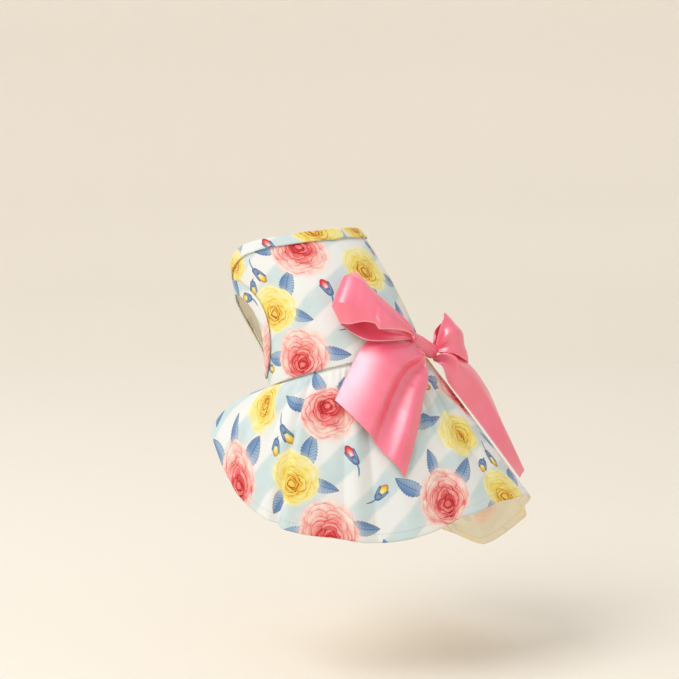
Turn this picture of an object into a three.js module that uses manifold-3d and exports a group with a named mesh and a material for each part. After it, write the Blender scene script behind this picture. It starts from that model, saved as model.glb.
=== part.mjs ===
// A sleeveless dress for a small dog, in the shape that it has when it is worn sitting up.
// A printed bodice goes round the chest, a pleated skirt hangs from its waist seam, and a satin bow
// is sewn on at the back. Millimetres, +Z up. The back and the bow face -Y, the belly faces +Y and the
// wearer's left is -X. The origin is the middle of the waist, where the body goes through.
import * as THREE from "three";
import { mergeVertices } from "three/addons/utils/BufferGeometryUtils.js";
import Module from "manifold-3d";

const wasm = await Module();
wasm.setup();

// Body sizes
const waistWidth = 134; // side to side at the waist seam
const waistDepth = 136; // back to belly at the waist seam
const bodiceLength = 124; // waist seam to strap top, along the back
const skirtLength = 155; // waist seam to hem
const skirtFlare = 75; // how far the hem stands out beyond the waist

// Cloth sizes
const clothWall = 1.5; // a folded and faced cotton wall
const bandWall = 1.2; // the bands round the arm and neck holes
const ribbonWall = 1.1; // the bow's doubled satin
const pieceGap = 0.3; // clearance between two pieces that touch

// Openings
const sideSeamTurn = 132; // where the back and chest panels meet, in degrees round from the back
const armholeHeight = 0.71 * bodiceLength;
const armholeWidth = 60;
const armholeRise = 0.532 * bodiceLength; // waist seam to the armhole's middle
const armBandWidth = 11;
const neckBandWidth = 9;
const bandLift = 0.45; // from the panels' cloth to the bands
const cutReach = 14; // how far the armholes' cut goes in and out of the cloth

// Skirt
const skirtTuck = 5; // how far the skirt goes up behind the bodice's edge
const tuckRoom = 0.5; // from the bodice's cloth to the tuck
const waistDrop = 1.5; // how far the skirt starts below the bodice's edge
const skirtLeftEnd = 108; // the skirt leaves the belly free: its two ends, in degrees round
const skirtRightEnd = -115;
const pleatDepth = 7;

// Bow
const bowLift = 24; // how far the loops stand off the body
const knotLength = 34;
const knotHeight = 14;
const knotDepth = 12;
const knotTurn = -17; // the knot sits right of the back's middle
const knotRise = 3; // waist seam to the knot's middle
const knotStand = 0.8; // from the cloth to the knot's back
const knotSlope = 26; // degrees that its right end hangs down
const leftLoopRoom = 0.7; // from the knot's ends to the ribbons that leave them
const rightLoopRoom = 2.1;
const leftTailRoom = 1.3;
const rightTailRoom = 2.2;
const gatherDepth = 2.2; // creases where the ribbon is gathered into the knot

// The body under the dress. up is a share of bodiceLength, lean is the back's lean towards the belly
// in degrees, width is a share of half waistWidth, back and belly are shares of half waistDepth.
const TORSO = [
  { up: -0.12, lean: 15, width: 1.01, back: 1.01, belly: 1.02 },
  { up: 0.0, lean: 18, width: 1.0, back: 1.0, belly: 1.0 },
  { up: 0.18, lean: 24, width: 0.96, back: 0.94, belly: 1.0 },
  { up: 0.38, lean: 30, width: 0.92, back: 0.89, belly: 1.04 },
  { up: 0.58, lean: 36, width: 0.89, back: 0.85, belly: 1.08 },
  { up: 0.78, lean: 40, width: 0.89, back: 0.8, belly: 1.06 },
  { up: 0.92, lean: 42, width: 0.88, back: 0.73, belly: 0.98 },
  { up: 1.12, lean: 45, width: 0.77, back: 0.6, belly: 0.82 },
];

// The neckline. turn is degrees round from the back and up is a share of bodiceLength.
const NECKLINE = [
  { turn: -18, up: 0.81 },
  { turn: 0, up: 0.8 },
  { turn: 18, up: 0.81 },
  { turn: 45, up: 0.87 },
  { turn: 75, up: 0.98 },
  { turn: 102, up: 1.06 },
  { turn: 128, up: 1.08 },
  { turn: 150, up: 1.03 },
  { turn: 168, up: 0.96 },
  { turn: 180, up: 0.945 },
  { turn: 192, up: 0.96 },
];

// The hem. turn is degrees round from the back towards the wearer's left, flare is a share of
// skirtFlare, drop is a share of skirtLength, and stand says how squarely the cloth stands out
// before it falls: 0.5 is straight.
const HEM = [
  { turn: -115, flare: 0.74, drop: 0.885, stand: 0.5 },
  { turn: -95, flare: 0.94, drop: 1.025, stand: 0.5 },
  { turn: -74, flare: 1.0, drop: 1.115, stand: 0.5 },
  { turn: -55, flare: 1.16, drop: 0.955, stand: 0.5 },
  { turn: -34, flare: 1.23, drop: 0.765, stand: 0.5 },
  { turn: -15, flare: 1.1, drop: 0.755, stand: 0.5 },
  { turn: 0, flare: 1.02, drop: 0.795, stand: 0.5 },
  { turn: 17, flare: 0.94, drop: 0.865, stand: 0.52 },
  { turn: 33, flare: 0.88, drop: 0.885, stand: 0.54 },
  { turn: 48, flare: 0.86, drop: 0.835, stand: 0.56 },
  { turn: 62, flare: 0.86, drop: 0.785, stand: 0.6 },
  { turn: 77, flare: 0.87, drop: 0.685, stand: 0.66 },
  { turn: 87, flare: 0.84, drop: 0.575, stand: 0.7 },
  { turn: 98, flare: 0.82, drop: 0.415, stand: 0.75 },
  { turn: 108, flare: 0.81, drop: 0.225, stand: 0.8 },
];

// The skirt's pleats. Each is a lip at turn, spread degrees wide, that drops away on its left side
// over edge degrees. depth is a share of pleatDepth.
const PLEATS = [
  { turn: -100, spread: 11, edge: 7, depth: 0.6 },
  { turn: -78, spread: 12, edge: 8, depth: 0.7 },
  { turn: -52, spread: 12, edge: 8, depth: 0.75 },
  { turn: -20, spread: 9, edge: 6, depth: 0.55 },
  { turn: -2, spread: 9, edge: 6, depth: 0.7 },
  { turn: 22, spread: 11, edge: 7, depth: 0.45 },
  { turn: 45, spread: 10, edge: 7, depth: 0.35 },
  { turn: 68, spread: 12, edge: 4, depth: 0.8 },
  { turn: 93, spread: 9, edge: 7, depth: 0.35 },
];

// The bow's ribbons, a row for each section from the knot outwards. turn and fall say where each
// edge lies on the dress: degrees round from the back, and a share of skirtLength below the waist
// seam. lift is a share of bowLift, and arch bows the middle of the section out by a share of it.
const LEFT_LOOP = [
  { topTurn: 4.1, topFall: -0.113, topLift: 0.9, lowTurn: 8.7, lowFall: -0.069, lowLift: 0.95, arch: 0.05 },
  { topTurn: 10.4, topFall: -0.182, topLift: 0.9, lowTurn: 16.9, lowFall: -0.086, lowLift: 1, arch: 0.1 },
  { topTurn: 15.8, topFall: -0.254, topLift: 0.85, lowTurn: 24.8, lowFall: -0.098, lowLift: 1, arch: 0.15 },
  { topTurn: 18.5, topFall: -0.329, topLift: 0.74, lowTurn: 34.4, lowFall: -0.133, lowLift: 0.9, arch: 0.25 },
  { topTurn: 19, topFall: -0.367, topLift: 0.56, lowTurn: 41, lowFall: -0.161, lowLift: 0.7, arch: 0.45 },
  { topTurn: 17, topFall: -0.364, topLift: 0.4, lowTurn: 38.7, lowFall: -0.141, lowLift: 0.45, arch: 0.25 },
  { topTurn: 10, topFall: -0.25, topLift: 0.34, lowTurn: 28.7, lowFall: -0.074, lowLift: 0.44, arch: 0.05 },
  { topTurn: 1.5, topFall: -0.135, topLift: 0.45, lowTurn: 10.8, lowFall: -0.05, lowLift: 0.54, arch: 0 },
];
const RIGHT_LOOP = [
  { topTurn: -30, topFall: -0.11, topLift: 1.1, lowTurn: -31, lowFall: 0.05, lowLift: 0.88, arch: 0.1 },
  { topTurn: -31.5, topFall: -0.13, topLift: 1.17, lowTurn: -34, lowFall: 0.12, lowLift: 0.98, arch: 0.2 },
  { topTurn: -35, topFall: -0.139, topLift: 1.21, lowTurn: -38, lowFall: 0.175, lowLift: 1.06, arch: 0.2 },
  { topTurn: -40, topFall: -0.128, topLift: 1.16, lowTurn: -43, lowFall: 0.16, lowLift: 1.03, arch: 0.15 },
  { topTurn: -41, topFall: -0.112, topLift: 0.98, lowTurn: -44, lowFall: 0.09, lowLift: 0.85, arch: 0.05 },
  { topTurn: -36, topFall: -0.095, topLift: 0.8, lowTurn: -38, lowFall: 0.05, lowLift: 0.68, arch: 0 },
  { topTurn: -32.5, topFall: -0.078, topLift: 0.66, lowTurn: -34, lowFall: 0.025, lowLift: 0.55, arch: 0 },
  { topTurn: -31.5, topFall: -0.065, topLift: 0.6, lowTurn: -32, lowFall: 0.01, lowLift: 0.48, arch: 0 },
];
const LEFT_TAIL = [
  { topTurn: 0, topFall: -0.046, topLift: 0.26, lowTurn: -3.4, lowFall: 0.006, lowLift: 0.72, arch: 0.05 },
  { topTurn: 4, topFall: -0.058, topLift: 0.2, lowTurn: -4, lowFall: 0.04, lowLift: 0.66, arch: 0.15 },
  { topTurn: 13.7, topFall: -0.072, topLift: 0.14, lowTurn: -4.1, lowFall: 0.149, lowLift: 0.5, arch: 0.32 },
  { topTurn: 24.7, topFall: -0.078, topLift: 0.1, lowTurn: -2.7, lowFall: 0.209, lowLift: 0.35, arch: 0.43 },
  { topTurn: 32.4, topFall: -0.05, topLift: 0.1, lowTurn: 0.3, lowFall: 0.291, lowLift: 0.2, arch: 0.55 },
  { topTurn: 42.2, topFall: 0.014, topLift: 0.08, lowTurn: 8.9, lowFall: 0.427, lowLift: 0.1, arch: 0.55 },
  { topTurn: 47.9, topFall: 0.136, topLift: 0.06, lowTurn: 15.6, lowFall: 0.557, lowLift: 0.06, arch: 0.45 },
  { topTurn: 51.4, topFall: 0.221, topLift: 0.06, lowTurn: 21.2, lowFall: 0.684, lowLift: 0.06, arch: 0.35 },
];
const RIGHT_TAIL = [
  { topTurn: -31.5, topFall: 0.045, topLift: 0.6, lowTurn: -25, lowFall: 0.122, lowLift: 0.3, arch: 0.2 },
  { topTurn: -34, topFall: 0.095, topLift: 0.76, lowTurn: -26, lowFall: 0.212, lowLift: 0.14, arch: 0.4 },
  { topTurn: -39, topFall: 0.19, topLift: 1.05, lowTurn: -28.7, lowFall: 0.332, lowLift: 0.1, arch: 0.35 },
  { topTurn: -46, topFall: 0.34, topLift: 1.2, lowTurn: -33, lowFall: 0.476, lowLift: 0.07, arch: 0.25 },
  { topTurn: -49.5, topFall: 0.52, topLift: 0.95, lowTurn: -33, lowFall: 0.66, lowLift: 0.06, arch: 0.2 },
  { topTurn: -51, topFall: 0.76, topLift: 0.6, lowTurn: -36, lowFall: 0.88, lowLift: 0.06, arch: 0.15 },
];

const rad = THREE.MathUtils.degToRad;
const lerp = THREE.MathUtils.lerp;
const smoothstep = THREE.MathUtils.smoothstep;

// A smooth curve through one column of a table, flat beyond its ends.
function curveThrough(rows, key, at, name) {
  const last = rows.length - 1;
  if (at <= rows[0][key]) return rows[0][name];
  if (at >= rows[last][key]) return rows[last][name];
  let i = 0;
  while (rows[i + 1][key] < at) i += 1;
  const before = rows[Math.max(i - 1, 0)];
  const start = rows[i];
  const end = rows[i + 1];
  const after = rows[Math.min(i + 2, last)];
  const span = end[key] - start[key];
  const t = (at - start[key]) / span;
  const slopeIn = ((end[name] - before[name]) / (end[key] - before[key])) * span;
  const slopeOut = ((after[name] - start[name]) / (after[key] - start[key])) * span;
  const rise = t * t * (3 - 2 * t);
  return lerp(start[name], end[name], rise) + t * (1 - t) * ((1 - t) * slopeIn - t * slopeOut);
}

// The middle of the body at a height up its curved back, and the back's lean there.
function spineAt(up) {
  const steps = 24;
  const step = (up * bodiceLength) / steps;
  let y = 0;
  let z = 0;
  for (let i = 0; i < steps; i += 1) {
    const lean = rad(curveThrough(TORSO, "up", (up * (i + 0.5)) / steps, "lean"));
    y += Math.sin(lean) * step;
    z += Math.cos(lean) * step;
  }
  return { y, z, lean: rad(curveThrough(TORSO, "up", up, "lean")) };
}

// A point out from the body's surface, turn degrees round from the back and up by a share of bodiceLength.
function onTorso(turn, up, out) {
  const spine = spineAt(up);
  const side = curveThrough(TORSO, "up", up, "width") * (waistWidth / 2) + out;
  const half = Math.cos(rad(turn)) > 0 ? "back" : "belly";
  const depth = curveThrough(TORSO, "up", up, half) * (waistDepth / 2) + out;
  const forward = -Math.cos(rad(turn)) * depth;
  return new THREE.Vector3(
    -Math.sin(rad(turn)) * side,
    spine.y + forward * Math.cos(spine.lean),
    spine.z - forward * Math.sin(spine.lean),
  );
}

// How far the pleats push the skirt out or in, at a turn and a share of the way down.
function pleatAt(turn, down) {
  const grown = smoothstep(down, 0.02, 0.4);
  return PLEATS.reduce((sum, pleat) => {
    const away = (turn - pleat.turn) / pleat.spread;
    const dropped = smoothstep(turn - pleat.turn, 0, pleat.edge);
    return sum + pleat.depth * pleatDepth * grown * Math.exp(-away * away) * (0.5 - dropped);
  }, 0);
}

// A point on the skirt: it leaves the waist, stands out and falls to the hem.
function onSkirt(turn, down) {
  const waist = onTorso(turn, -waistDrop / bodiceLength, 0);
  const waistReach = Math.hypot(waist.x, waist.y);
  const hemReach = waistReach + curveThrough(HEM, "turn", turn, "flare") * skirtFlare;
  const hemHeight = waist.z - curveThrough(HEM, "turn", turn, "drop") * skirtLength;
  const stand = curveThrough(HEM, "turn", turn, "stand");
  const bendReach = lerp(waistReach, hemReach, stand);
  const bendHeight = lerp(hemHeight, waist.z, stand);
  const profile = new THREE.QuadraticBezierCurve(
    new THREE.Vector2(waistReach, waist.z),
    new THREE.Vector2(bendReach, bendHeight),
    new THREE.Vector2(hemReach, hemHeight),
  ).getPoint(down);
  const heading = lerp(Math.atan2(-waist.x, -waist.y), rad(turn), down);
  const reach = profile.x + pleatAt(turn, down);
  return new THREE.Vector3(-Math.sin(heading) * reach, -Math.cos(heading) * reach, profile.y);
}

// A point that lies lift over the dress: on the bodice where fall is negative, else on the skirt.
function onDress(turn, fall, lift) {
  if (fall < 0) return onTorso(turn, (-fall * skirtLength) / bodiceLength, clothWall + lift);
  const nudge = 0.01;
  const here = onSkirt(turn, fall);
  const round = onSkirt(turn + 1, fall).sub(onSkirt(turn - 1, fall));
  const down = onSkirt(turn, fall + nudge).sub(onSkirt(turn, fall));
  const skirtOut = round.cross(down).normalize();
  const torsoOut = onTorso(turn, 0, 1).sub(onTorso(turn, 0, 0)).normalize();
  const outward = torsoOut.lerp(skirtOut, smoothstep(fall, 0, 0.2)).normalize();
  return here.addScaledVector(outward, clothWall + lift);
}

// A closed cloth wall on a grid of middle points: place(u, v) for u and v from 0 to 1.
// A looped wall joins its last column to its first.
function clothSolid(columns, rows, wall, place, looped = false) {
  const nudge = 1e-3;
  const count = looped ? columns : columns + 1;
  const outer = [];
  const inner = [];
  for (let j = 0; j <= rows; j += 1) {
    for (let i = 0; i < count; i += 1) {
      const u = i / columns;
      const v = j / rows;
      const middle = place(u, v);
      const uLow = looped ? u - nudge : Math.max(u - nudge, 0);
      const uHigh = looped ? u + nudge : Math.min(u + nudge, 1);
      const along = place(uHigh, v).sub(place(uLow, v));
      const across = place(u, Math.min(v + nudge, 1)).sub(place(u, Math.max(v - nudge, 0)));
      const normal = along.cross(across).normalize();
      outer.push(middle.clone().addScaledVector(normal, wall / 2));
      inner.push(middle.clone().addScaledVector(normal, -wall / 2));
    }
  }
  const points = [...outer, ...inner];
  const faces = [];
  const quad = (a, b, c, d) => faces.push(a, b, c, a, c, d);
  const at = (i, j) => j * count + (i % count);
  const under = (i, j) => outer.length + at(i, j);
  for (let j = 0; j < rows; j += 1) {
    for (let i = 0; i < columns; i += 1) {
      quad(at(i, j), at(i + 1, j), at(i + 1, j + 1), at(i, j + 1));
      quad(under(i, j), under(i, j + 1), under(i + 1, j + 1), under(i + 1, j));
    }
  }
  for (let i = 0; i < columns; i += 1) {
    quad(at(i, 0), under(i, 0), under(i + 1, 0), at(i + 1, 0));
    quad(at(i, rows), at(i + 1, rows), under(i + 1, rows), under(i, rows));
  }
  if (!looped) {
    for (let j = 0; j < rows; j += 1) {
      quad(at(0, j), at(0, j + 1), under(0, j + 1), under(0, j));
      quad(at(columns, j), under(columns, j), under(columns, j + 1), at(columns, j + 1));
    }
  }
  const geometry = new THREE.BufferGeometry().setFromPoints(points);
  geometry.setIndex(faces);
  return geometry;
}

// A geometry as a solid that can be cut, and back.
function toManifold(geometry) {
  const bare = geometry.clone();
  bare.deleteAttribute("normal");
  bare.deleteAttribute("uv");
  const merged = mergeVertices(bare, 1e-4);
  return new wasm.Manifold(
    new wasm.Mesh({
      numProp: 3,
      vertProperties: new Float32Array(merged.attributes.position.array),
      triVerts: new Uint32Array(merged.index.array),
    }),
  );
}

function fromManifold(solid) {
  const mesh = solid.getMesh();
  const geometry = new THREE.BufferGeometry();
  geometry.setAttribute("position", new THREE.BufferAttribute(mesh.vertProperties, 3));
  geometry.setIndex(new THREE.BufferAttribute(mesh.triVerts, 1));
  return geometry;
}

// The neckline's height at a turn, the same on both sides.
function necklineAt(turn) {
  const round = Math.abs(THREE.MathUtils.euclideanModulo(turn + 180, 360) - 180);
  return curveThrough(NECKLINE, "turn", round, "up");
}

// A point of the armhole's rim, grown outwards by some millimetres. side is 1 on the wearer's left.
function armholeRim(side, angle, grow, out) {
  const across = armholeWidth / 2 + grow;
  const tall = armholeHeight / 2 + grow;
  const degreesPerMillimetre = 360 / (Math.PI * (waistWidth + waistDepth) * 0.5);
  const turn = sideSeamTurn + Math.cos(angle) * across * degreesPerMillimetre;
  const up = (armholeRise + Math.sin(angle) * tall) / bodiceLength;
  return onTorso(side * turn, up, out);
}

// A plug through the armhole that cuts the panels: rings inside and outside the wall, with closed ends.
function armholePlug(side) {
  const sides = 32;
  const points = [];
  for (const out of [-cutReach, cutReach]) {
    for (let i = 0; i < sides; i += 1) points.push(armholeRim(side, (i / sides) * Math.PI * 2, 0, out));
  }
  const middleOf = (ring) =>
    points.slice(ring * sides, (ring + 1) * sides).reduce((sum, p) => sum.add(p), new THREE.Vector3());
  points.push(middleOf(0).divideScalar(sides), middleOf(1).divideScalar(sides));
  const faces = [];
  for (let i = 0; i < sides; i += 1) {
    const next = (i + 1) % sides;
    faces.push(i, next, sides + next, i, sides + next, sides + i);
    faces.push(2 * sides, next, i, 2 * sides + 1, sides + i, sides + next);
  }
  const geometry = new THREE.BufferGeometry().setFromPoints(points);
  geometry.setIndex(faces);
  const plug = toManifold(geometry);
  return plug.volume() > 0 ? plug : toManifold(turnedOver(geometry));
}

function turnedOver(geometry) {
  const faces = Array.from(geometry.index.array);
  for (let i = 0; i < faces.length; i += 3) [faces[i + 1], faces[i + 2]] = [faces[i + 2], faces[i + 1]];
  return geometry.clone().setIndex(faces);
}

// A printed panel of the bodice between two turns, with both armholes cut out of it.
function bodicePanel(fromTurn, toTurn, columns) {
  const seamGap = THREE.MathUtils.radToDeg(pieceGap / waistWidth);
  const place = (u, v) => {
    const turn = lerp(toTurn - seamGap, fromTurn + seamGap, u);
    return onTorso(turn, v * necklineAt(turn), clothWall / 2);
  };
  const panel = toManifold(clothSolid(columns, 12, clothWall, place));
  return fromManifold(panel.subtract(armholePlug(1)).subtract(armholePlug(-1)));
}

const backPanel = () => bodicePanel(-sideSeamTurn, sideSeamTurn, 46);
const chestPanel = () => bodicePanel(sideSeamTurn, 360 - sideSeamTurn, 16);

// The bands lie on the panels and stand a little over the edge that they finish.
const bandOut = clothWall + bandLift + bandWall / 2;
const bandOverhang = 1.5;

function armBand(side) {
  const place = (u, v) =>
    armholeRim(side, side * u * Math.PI * 2, lerp(armBandWidth, -bandOverhang, v), bandOut);
  return clothSolid(36, 2, bandWall, place, true);
}

function neckBand() {
  const place = (u, v) => {
    const turn = -u * 360;
    const low = necklineAt(turn) - neckBandWidth / bodiceLength;
    return onTorso(turn, lerp(low, necklineAt(turn) + bandOverhang / bodiceLength, v), bandOut);
  };
  return clothSolid(52, 1, bandWall, place, true);
}

// The skirt tucks up behind the bodice's edge and then falls to the hem.
function skirt() {
  const tuckOut = -tuckRoom - clothWall / 2;
  const rowsDown = [-1, 0, 0.03, 0.08, 0.17, 0.29, 0.43, 0.57, 0.71, 0.85, 1];
  const place = (u, v) => {
    const turn = lerp(skirtRightEnd, skirtLeftEnd, 1 - u);
    const at = (1 - v) * (rowsDown.length - 1);
    const row = Math.min(Math.floor(at), rowsDown.length - 2);
    const down = lerp(rowsDown[row], rowsDown[row + 1], at - row);
    if (down < 0) return onTorso(turn, lerp(-waistDrop, skirtTuck, -down) / bodiceLength, tuckOut);
    const inward = tuckOut * (1 - smoothstep(down, 0, 0.06));
    const point = onSkirt(turn, down);
    return point.addScaledVector(new THREE.Vector3(point.x, point.y, 0).normalize(), inward);
  };
  return clothSolid(78, rowsDown.length - 1, clothWall, place);
}

// The knot's frame: its middle, and its own right, up and outward directions.
function knotFrame() {
  const up = knotRise / bodiceLength;
  const foot = onTorso(knotTurn, up, clothWall);
  const outward = onTorso(knotTurn, up, clothWall + 1).sub(foot).normalize();
  const level = new THREE.Vector3(0, 0, 1).cross(outward).normalize();
  const right = level.applyAxisAngle(outward, -rad(knotSlope));
  const middle = foot.addScaledVector(outward, knotStand + knotDepth / 2);
  return { middle, right, upward: outward.clone().cross(right), outward };
}

const knotAt = knotFrame();

// A point in the knot's frame, in millimetres.
function byKnot(right, upward, outward) {
  return knotAt.middle
    .clone()
    .addScaledVector(knotAt.right, right)
    .addScaledVector(knotAt.upward, upward)
    .addScaledVector(knotAt.outward, outward);
}

// The knot is a wrapped band with a full middle and flat ends.
function knot() {
  const sides = 18;
  const stations = [
    { along: -0.5, size: 0.8 },
    { along: -0.4, size: 0.93 },
    { along: -0.15, size: 1.0 },
    { along: 0.15, size: 0.98 },
    { along: 0.4, size: 0.95 },
    { along: 0.5, size: 0.84 },
  ];
  const points = stations.flatMap((station) =>
    Array.from({ length: sides }, (_, i) => {
      const angle = (i / sides) * Math.PI * 2;
      const high = (Math.sin(angle) * station.size * knotHeight) / 2;
      const deep = (Math.cos(angle) * station.size * knotDepth) / 2;
      return byKnot(station.along * knotLength, high, deep);
    }),
  );
  points.push(byKnot(-knotLength / 2, 0, 0), byKnot(knotLength / 2, 0, 0));
  const faces = [];
  const rings = stations.length;
  for (let i = 0; i < sides; i += 1) {
    const next = (i + 1) % sides;
    for (let ring = 0; ring < rings - 1; ring += 1) {
      const a = ring * sides;
      faces.push(a + i, a + next, a + sides + next, a + i, a + sides + next, a + sides + i);
    }
    const last = (rings - 1) * sides;
    faces.push(rings * sides, next, i, rings * sides + 1, last + i, last + next);
  }
  const geometry = new THREE.BufferGeometry().setFromPoints(points);
  geometry.setIndex(faces);
  return toManifold(geometry).volume() > 0 ? geometry : turnedOver(geometry);
}

// A ribbon from its sections. Each section gives the ribbon's two edges as points and its arch.
// fold(across, along) pushes it out or in, and gathers crease it near the knot.
function ribbon(side, sections, alongCount, acrossCount, fold) {
  const topEdge = new THREE.CatmullRomCurve3(sections.map((s) => s.top), false, "centripetal");
  const lowEdge = new THREE.CatmullRomCurve3(sections.map((s) => s.low), false, "centripetal");
  const arches = sections.map((s, i) => ({ at: i / (sections.length - 1), arch: s.arch }));
  const flat = (across, along) => topEdge.getPoint(along).lerp(lowEdge.getPoint(along), across);
  const place = (u, v) => {
    const nudge = 1e-3;
    const lengthwise = flat(u, Math.min(v + nudge, 1)).sub(flat(u, Math.max(v - nudge, 0)));
    const outward = flat(1, v).sub(flat(0, v)).cross(lengthwise).normalize().multiplyScalar(side);
    const arch = 4 * u * (1 - u) * curveThrough(arches, "at", v, "arch") * bowLift;
    return flat(u, v).addScaledVector(outward, arch + fold(u, v));
  };
  return clothSolid(acrossCount, alongCount, ribbonWall, place);
}

function sectionOn(row) {
  return {
    top: onDress(row.topTurn, row.topFall, row.topLift * bowLift),
    low: onDress(row.lowTurn, row.lowFall, row.lowLift * bowLift),
    arch: row.arch,
  };
}

// A section at one end of the knot. side is -1 at its left end.
function sectionAtKnot(side, room, topRise, lowRise, topOut, lowOut) {
  const end = side * (knotLength / 2 + room);
  return {
    top: byKnot(end, topRise * knotHeight, topOut * knotDepth),
    low: byKnot(end, lowRise * knotHeight, lowOut * knotDepth),
    arch: 0,
  };
}

const gathers = (across, along, count) =>
  (gatherDepth / 2) *
  Math.cos(across * count * Math.PI * 2) *
  smoothstep(along, -0.08, 0.12) *
  (1 - smoothstep(along, 0.12, 0.5));

function loop(side, rows, room) {
  const sections = [
    sectionAtKnot(side, room, 0.42, -0.05, 0.2, 0.36),
    ...rows.map(sectionOn),
    sectionAtKnot(side, room, 0.36, -0.04, -0.12, 0.04),
  ];
  const fold = (across, along) => gathers(across, Math.min(along, 1 - along) * 2, 2);
  return ribbon(side, sections, 24, 6, fold);
}

function tail(side, rows, room, fold) {
  const sections = [sectionAtKnot(side, room, -0.26, -0.52, -0.1, -0.05), ...rows.map(sectionOn)];
  return ribbon(side, sections, 16, 14, (across, along) => fold(across, along) + gathers(across, along, 2));
}

// Where the left tail's valley lies across it, and how deep the valley is, in millimetres
const TAIL_VALLEY = [
  { along: 0.2, across: 1, depth: 1.8 },
  { along: 0.25, across: 0.92, depth: 4 },
  { along: 0.375, across: 0.74, depth: 7.3 },
  { along: 0.5, across: 0.66, depth: 9 },
  { along: 0.625, across: 0.61, depth: 9.9 },
  { along: 0.75, across: 0.57, depth: 9.2 },
  { along: 1, across: 0.56, depth: 5 },
];

// The left tail has one deep valley with a ridge beside it, and the right tail a shallow one.
const hump = (at, middle, spread) => Math.exp(-(((at - middle) / spread) ** 2));
function leftTailFold(across, along) {
  const beyond = across - curveThrough(TAIL_VALLEY, "along", along, "across");
  const valley = smoothstep(beyond, -0.06, 0.02) * (1 - smoothstep(beyond, 0.03, 0.32));
  const depth = curveThrough(TAIL_VALLEY, "along", along, "depth") * smoothstep(along, 0.05, 0.2);
  return 1.5 * smoothstep(along, 0.3, 0.6) * hump(across, 0.88, 0.1) - depth * valley;
}
const rightTailFold = (across, along) => smoothstep(along, 0.1, 0.6) * 2.5 * hump(across, 0.55, 0.2);

const cotton = { roughness: 0.85, metalness: 0 };
const satin = { roughness: 0.35, metalness: 0 };
const print = new THREE.MeshStandardMaterial({ color: 0xeef3f1, ...cotton });
const band = new THREE.MeshStandardMaterial({ color: 0xf7f6f2, ...cotton });
const pink = new THREE.MeshStandardMaterial({ color: 0xf0788f, ...satin });

const dress = new THREE.Group();
function add(name, geometry, material) {
  const mesh = new THREE.Mesh(geometry, material);
  mesh.name = name;
  dress.add(mesh);
}

add("back_panel", backPanel(), print);
add("chest_panel", chestPanel(), print);
add("left_arm_band", armBand(1), band);
add("right_arm_band", armBand(-1), band);
add("neck_band", neckBand(), band);
add("skirt", skirt(), print);
add("bow_knot", knot(), pink);
add("bow_left_loop", loop(-1, LEFT_LOOP, leftLoopRoom), pink);
add("bow_right_loop", loop(1, RIGHT_LOOP, rightLoopRoom), pink);
add("bow_left_tail", tail(-1, LEFT_TAIL, leftTailRoom, leftTailFold), pink);
add("bow_right_tail", tail(1, RIGHT_TAIL, rightTailRoom, rightTailFold), pink);

export default dress;
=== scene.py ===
"""A sleeveless dog dress with a pleated skirt and a satin bow, held in the form that it has when worn.

Run as a script in Blender 4.5. Metres, +Z up. The bow and the back face -Y, the belly faces +Y and
the dress's left side is -X. The origin is the middle of the waist.
"""

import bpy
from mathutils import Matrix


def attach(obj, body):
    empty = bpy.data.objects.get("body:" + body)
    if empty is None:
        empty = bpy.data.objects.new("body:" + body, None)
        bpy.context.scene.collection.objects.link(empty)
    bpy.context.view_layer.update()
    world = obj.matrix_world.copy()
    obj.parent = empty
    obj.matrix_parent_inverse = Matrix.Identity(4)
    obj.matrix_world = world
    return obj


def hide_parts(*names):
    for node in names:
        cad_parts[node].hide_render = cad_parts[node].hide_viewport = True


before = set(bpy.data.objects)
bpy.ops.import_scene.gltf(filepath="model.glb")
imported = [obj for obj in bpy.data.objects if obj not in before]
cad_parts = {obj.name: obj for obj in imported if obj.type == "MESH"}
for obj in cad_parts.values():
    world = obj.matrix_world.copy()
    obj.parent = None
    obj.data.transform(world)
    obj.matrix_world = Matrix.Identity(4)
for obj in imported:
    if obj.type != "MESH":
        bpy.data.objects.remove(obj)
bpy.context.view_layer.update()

import math
from collections import namedtuple

import bpy
import numpy as np
from mathutils import Vector

bl_info = {
    "name": "Dog Dress",
    "version": (1, 0, 0),
    "blender": (4, 5, 0),
    "location": "View3D > Sidebar > Dog Dress",
    "description": "Sews a printed dog dress with a pleated skirt and a satin bow",
    "category": "Add Mesh",
}

MM = 0.001
TAU = math.tau
BODY = "root"


def table(names, *rows):
    """A short table with named columns, as one array for each name."""
    return {name: np.array(column, float) for name, column in zip(names.split(), zip(*rows))}


# The form that the bodice keeps. up is a share of its length, lean is the back's lean towards the
# belly in degrees, width is a share of half the waist's width, back and belly of half its depth.
BODICE_FORM = table(
    "up lean width back belly",
    (-0.12, 15, 1.01, 1.01, 1.02),
    (0.0, 18, 1.0, 1.0, 1.0),
    (0.18, 24, 0.96, 0.94, 1.0),
    (0.38, 30, 0.92, 0.89, 1.04),
    (0.58, 36, 0.89, 0.85, 1.08),
    (0.78, 40, 0.89, 0.8, 1.06),
    (0.92, 42, 0.88, 0.73, 0.98),
    (1.12, 45, 0.77, 0.6, 0.82),
)

# The neckline. turn is degrees round from the back and up is a share of the bodice's length.
NECKLINE = table(
    "turn up",
    (-18, 0.81), (0, 0.8), (18, 0.81), (45, 0.87), (75, 0.98), (102, 1.06),
    (128, 1.08), (150, 1.03), (168, 0.96), (180, 0.945), (192, 0.96),
)

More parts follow.
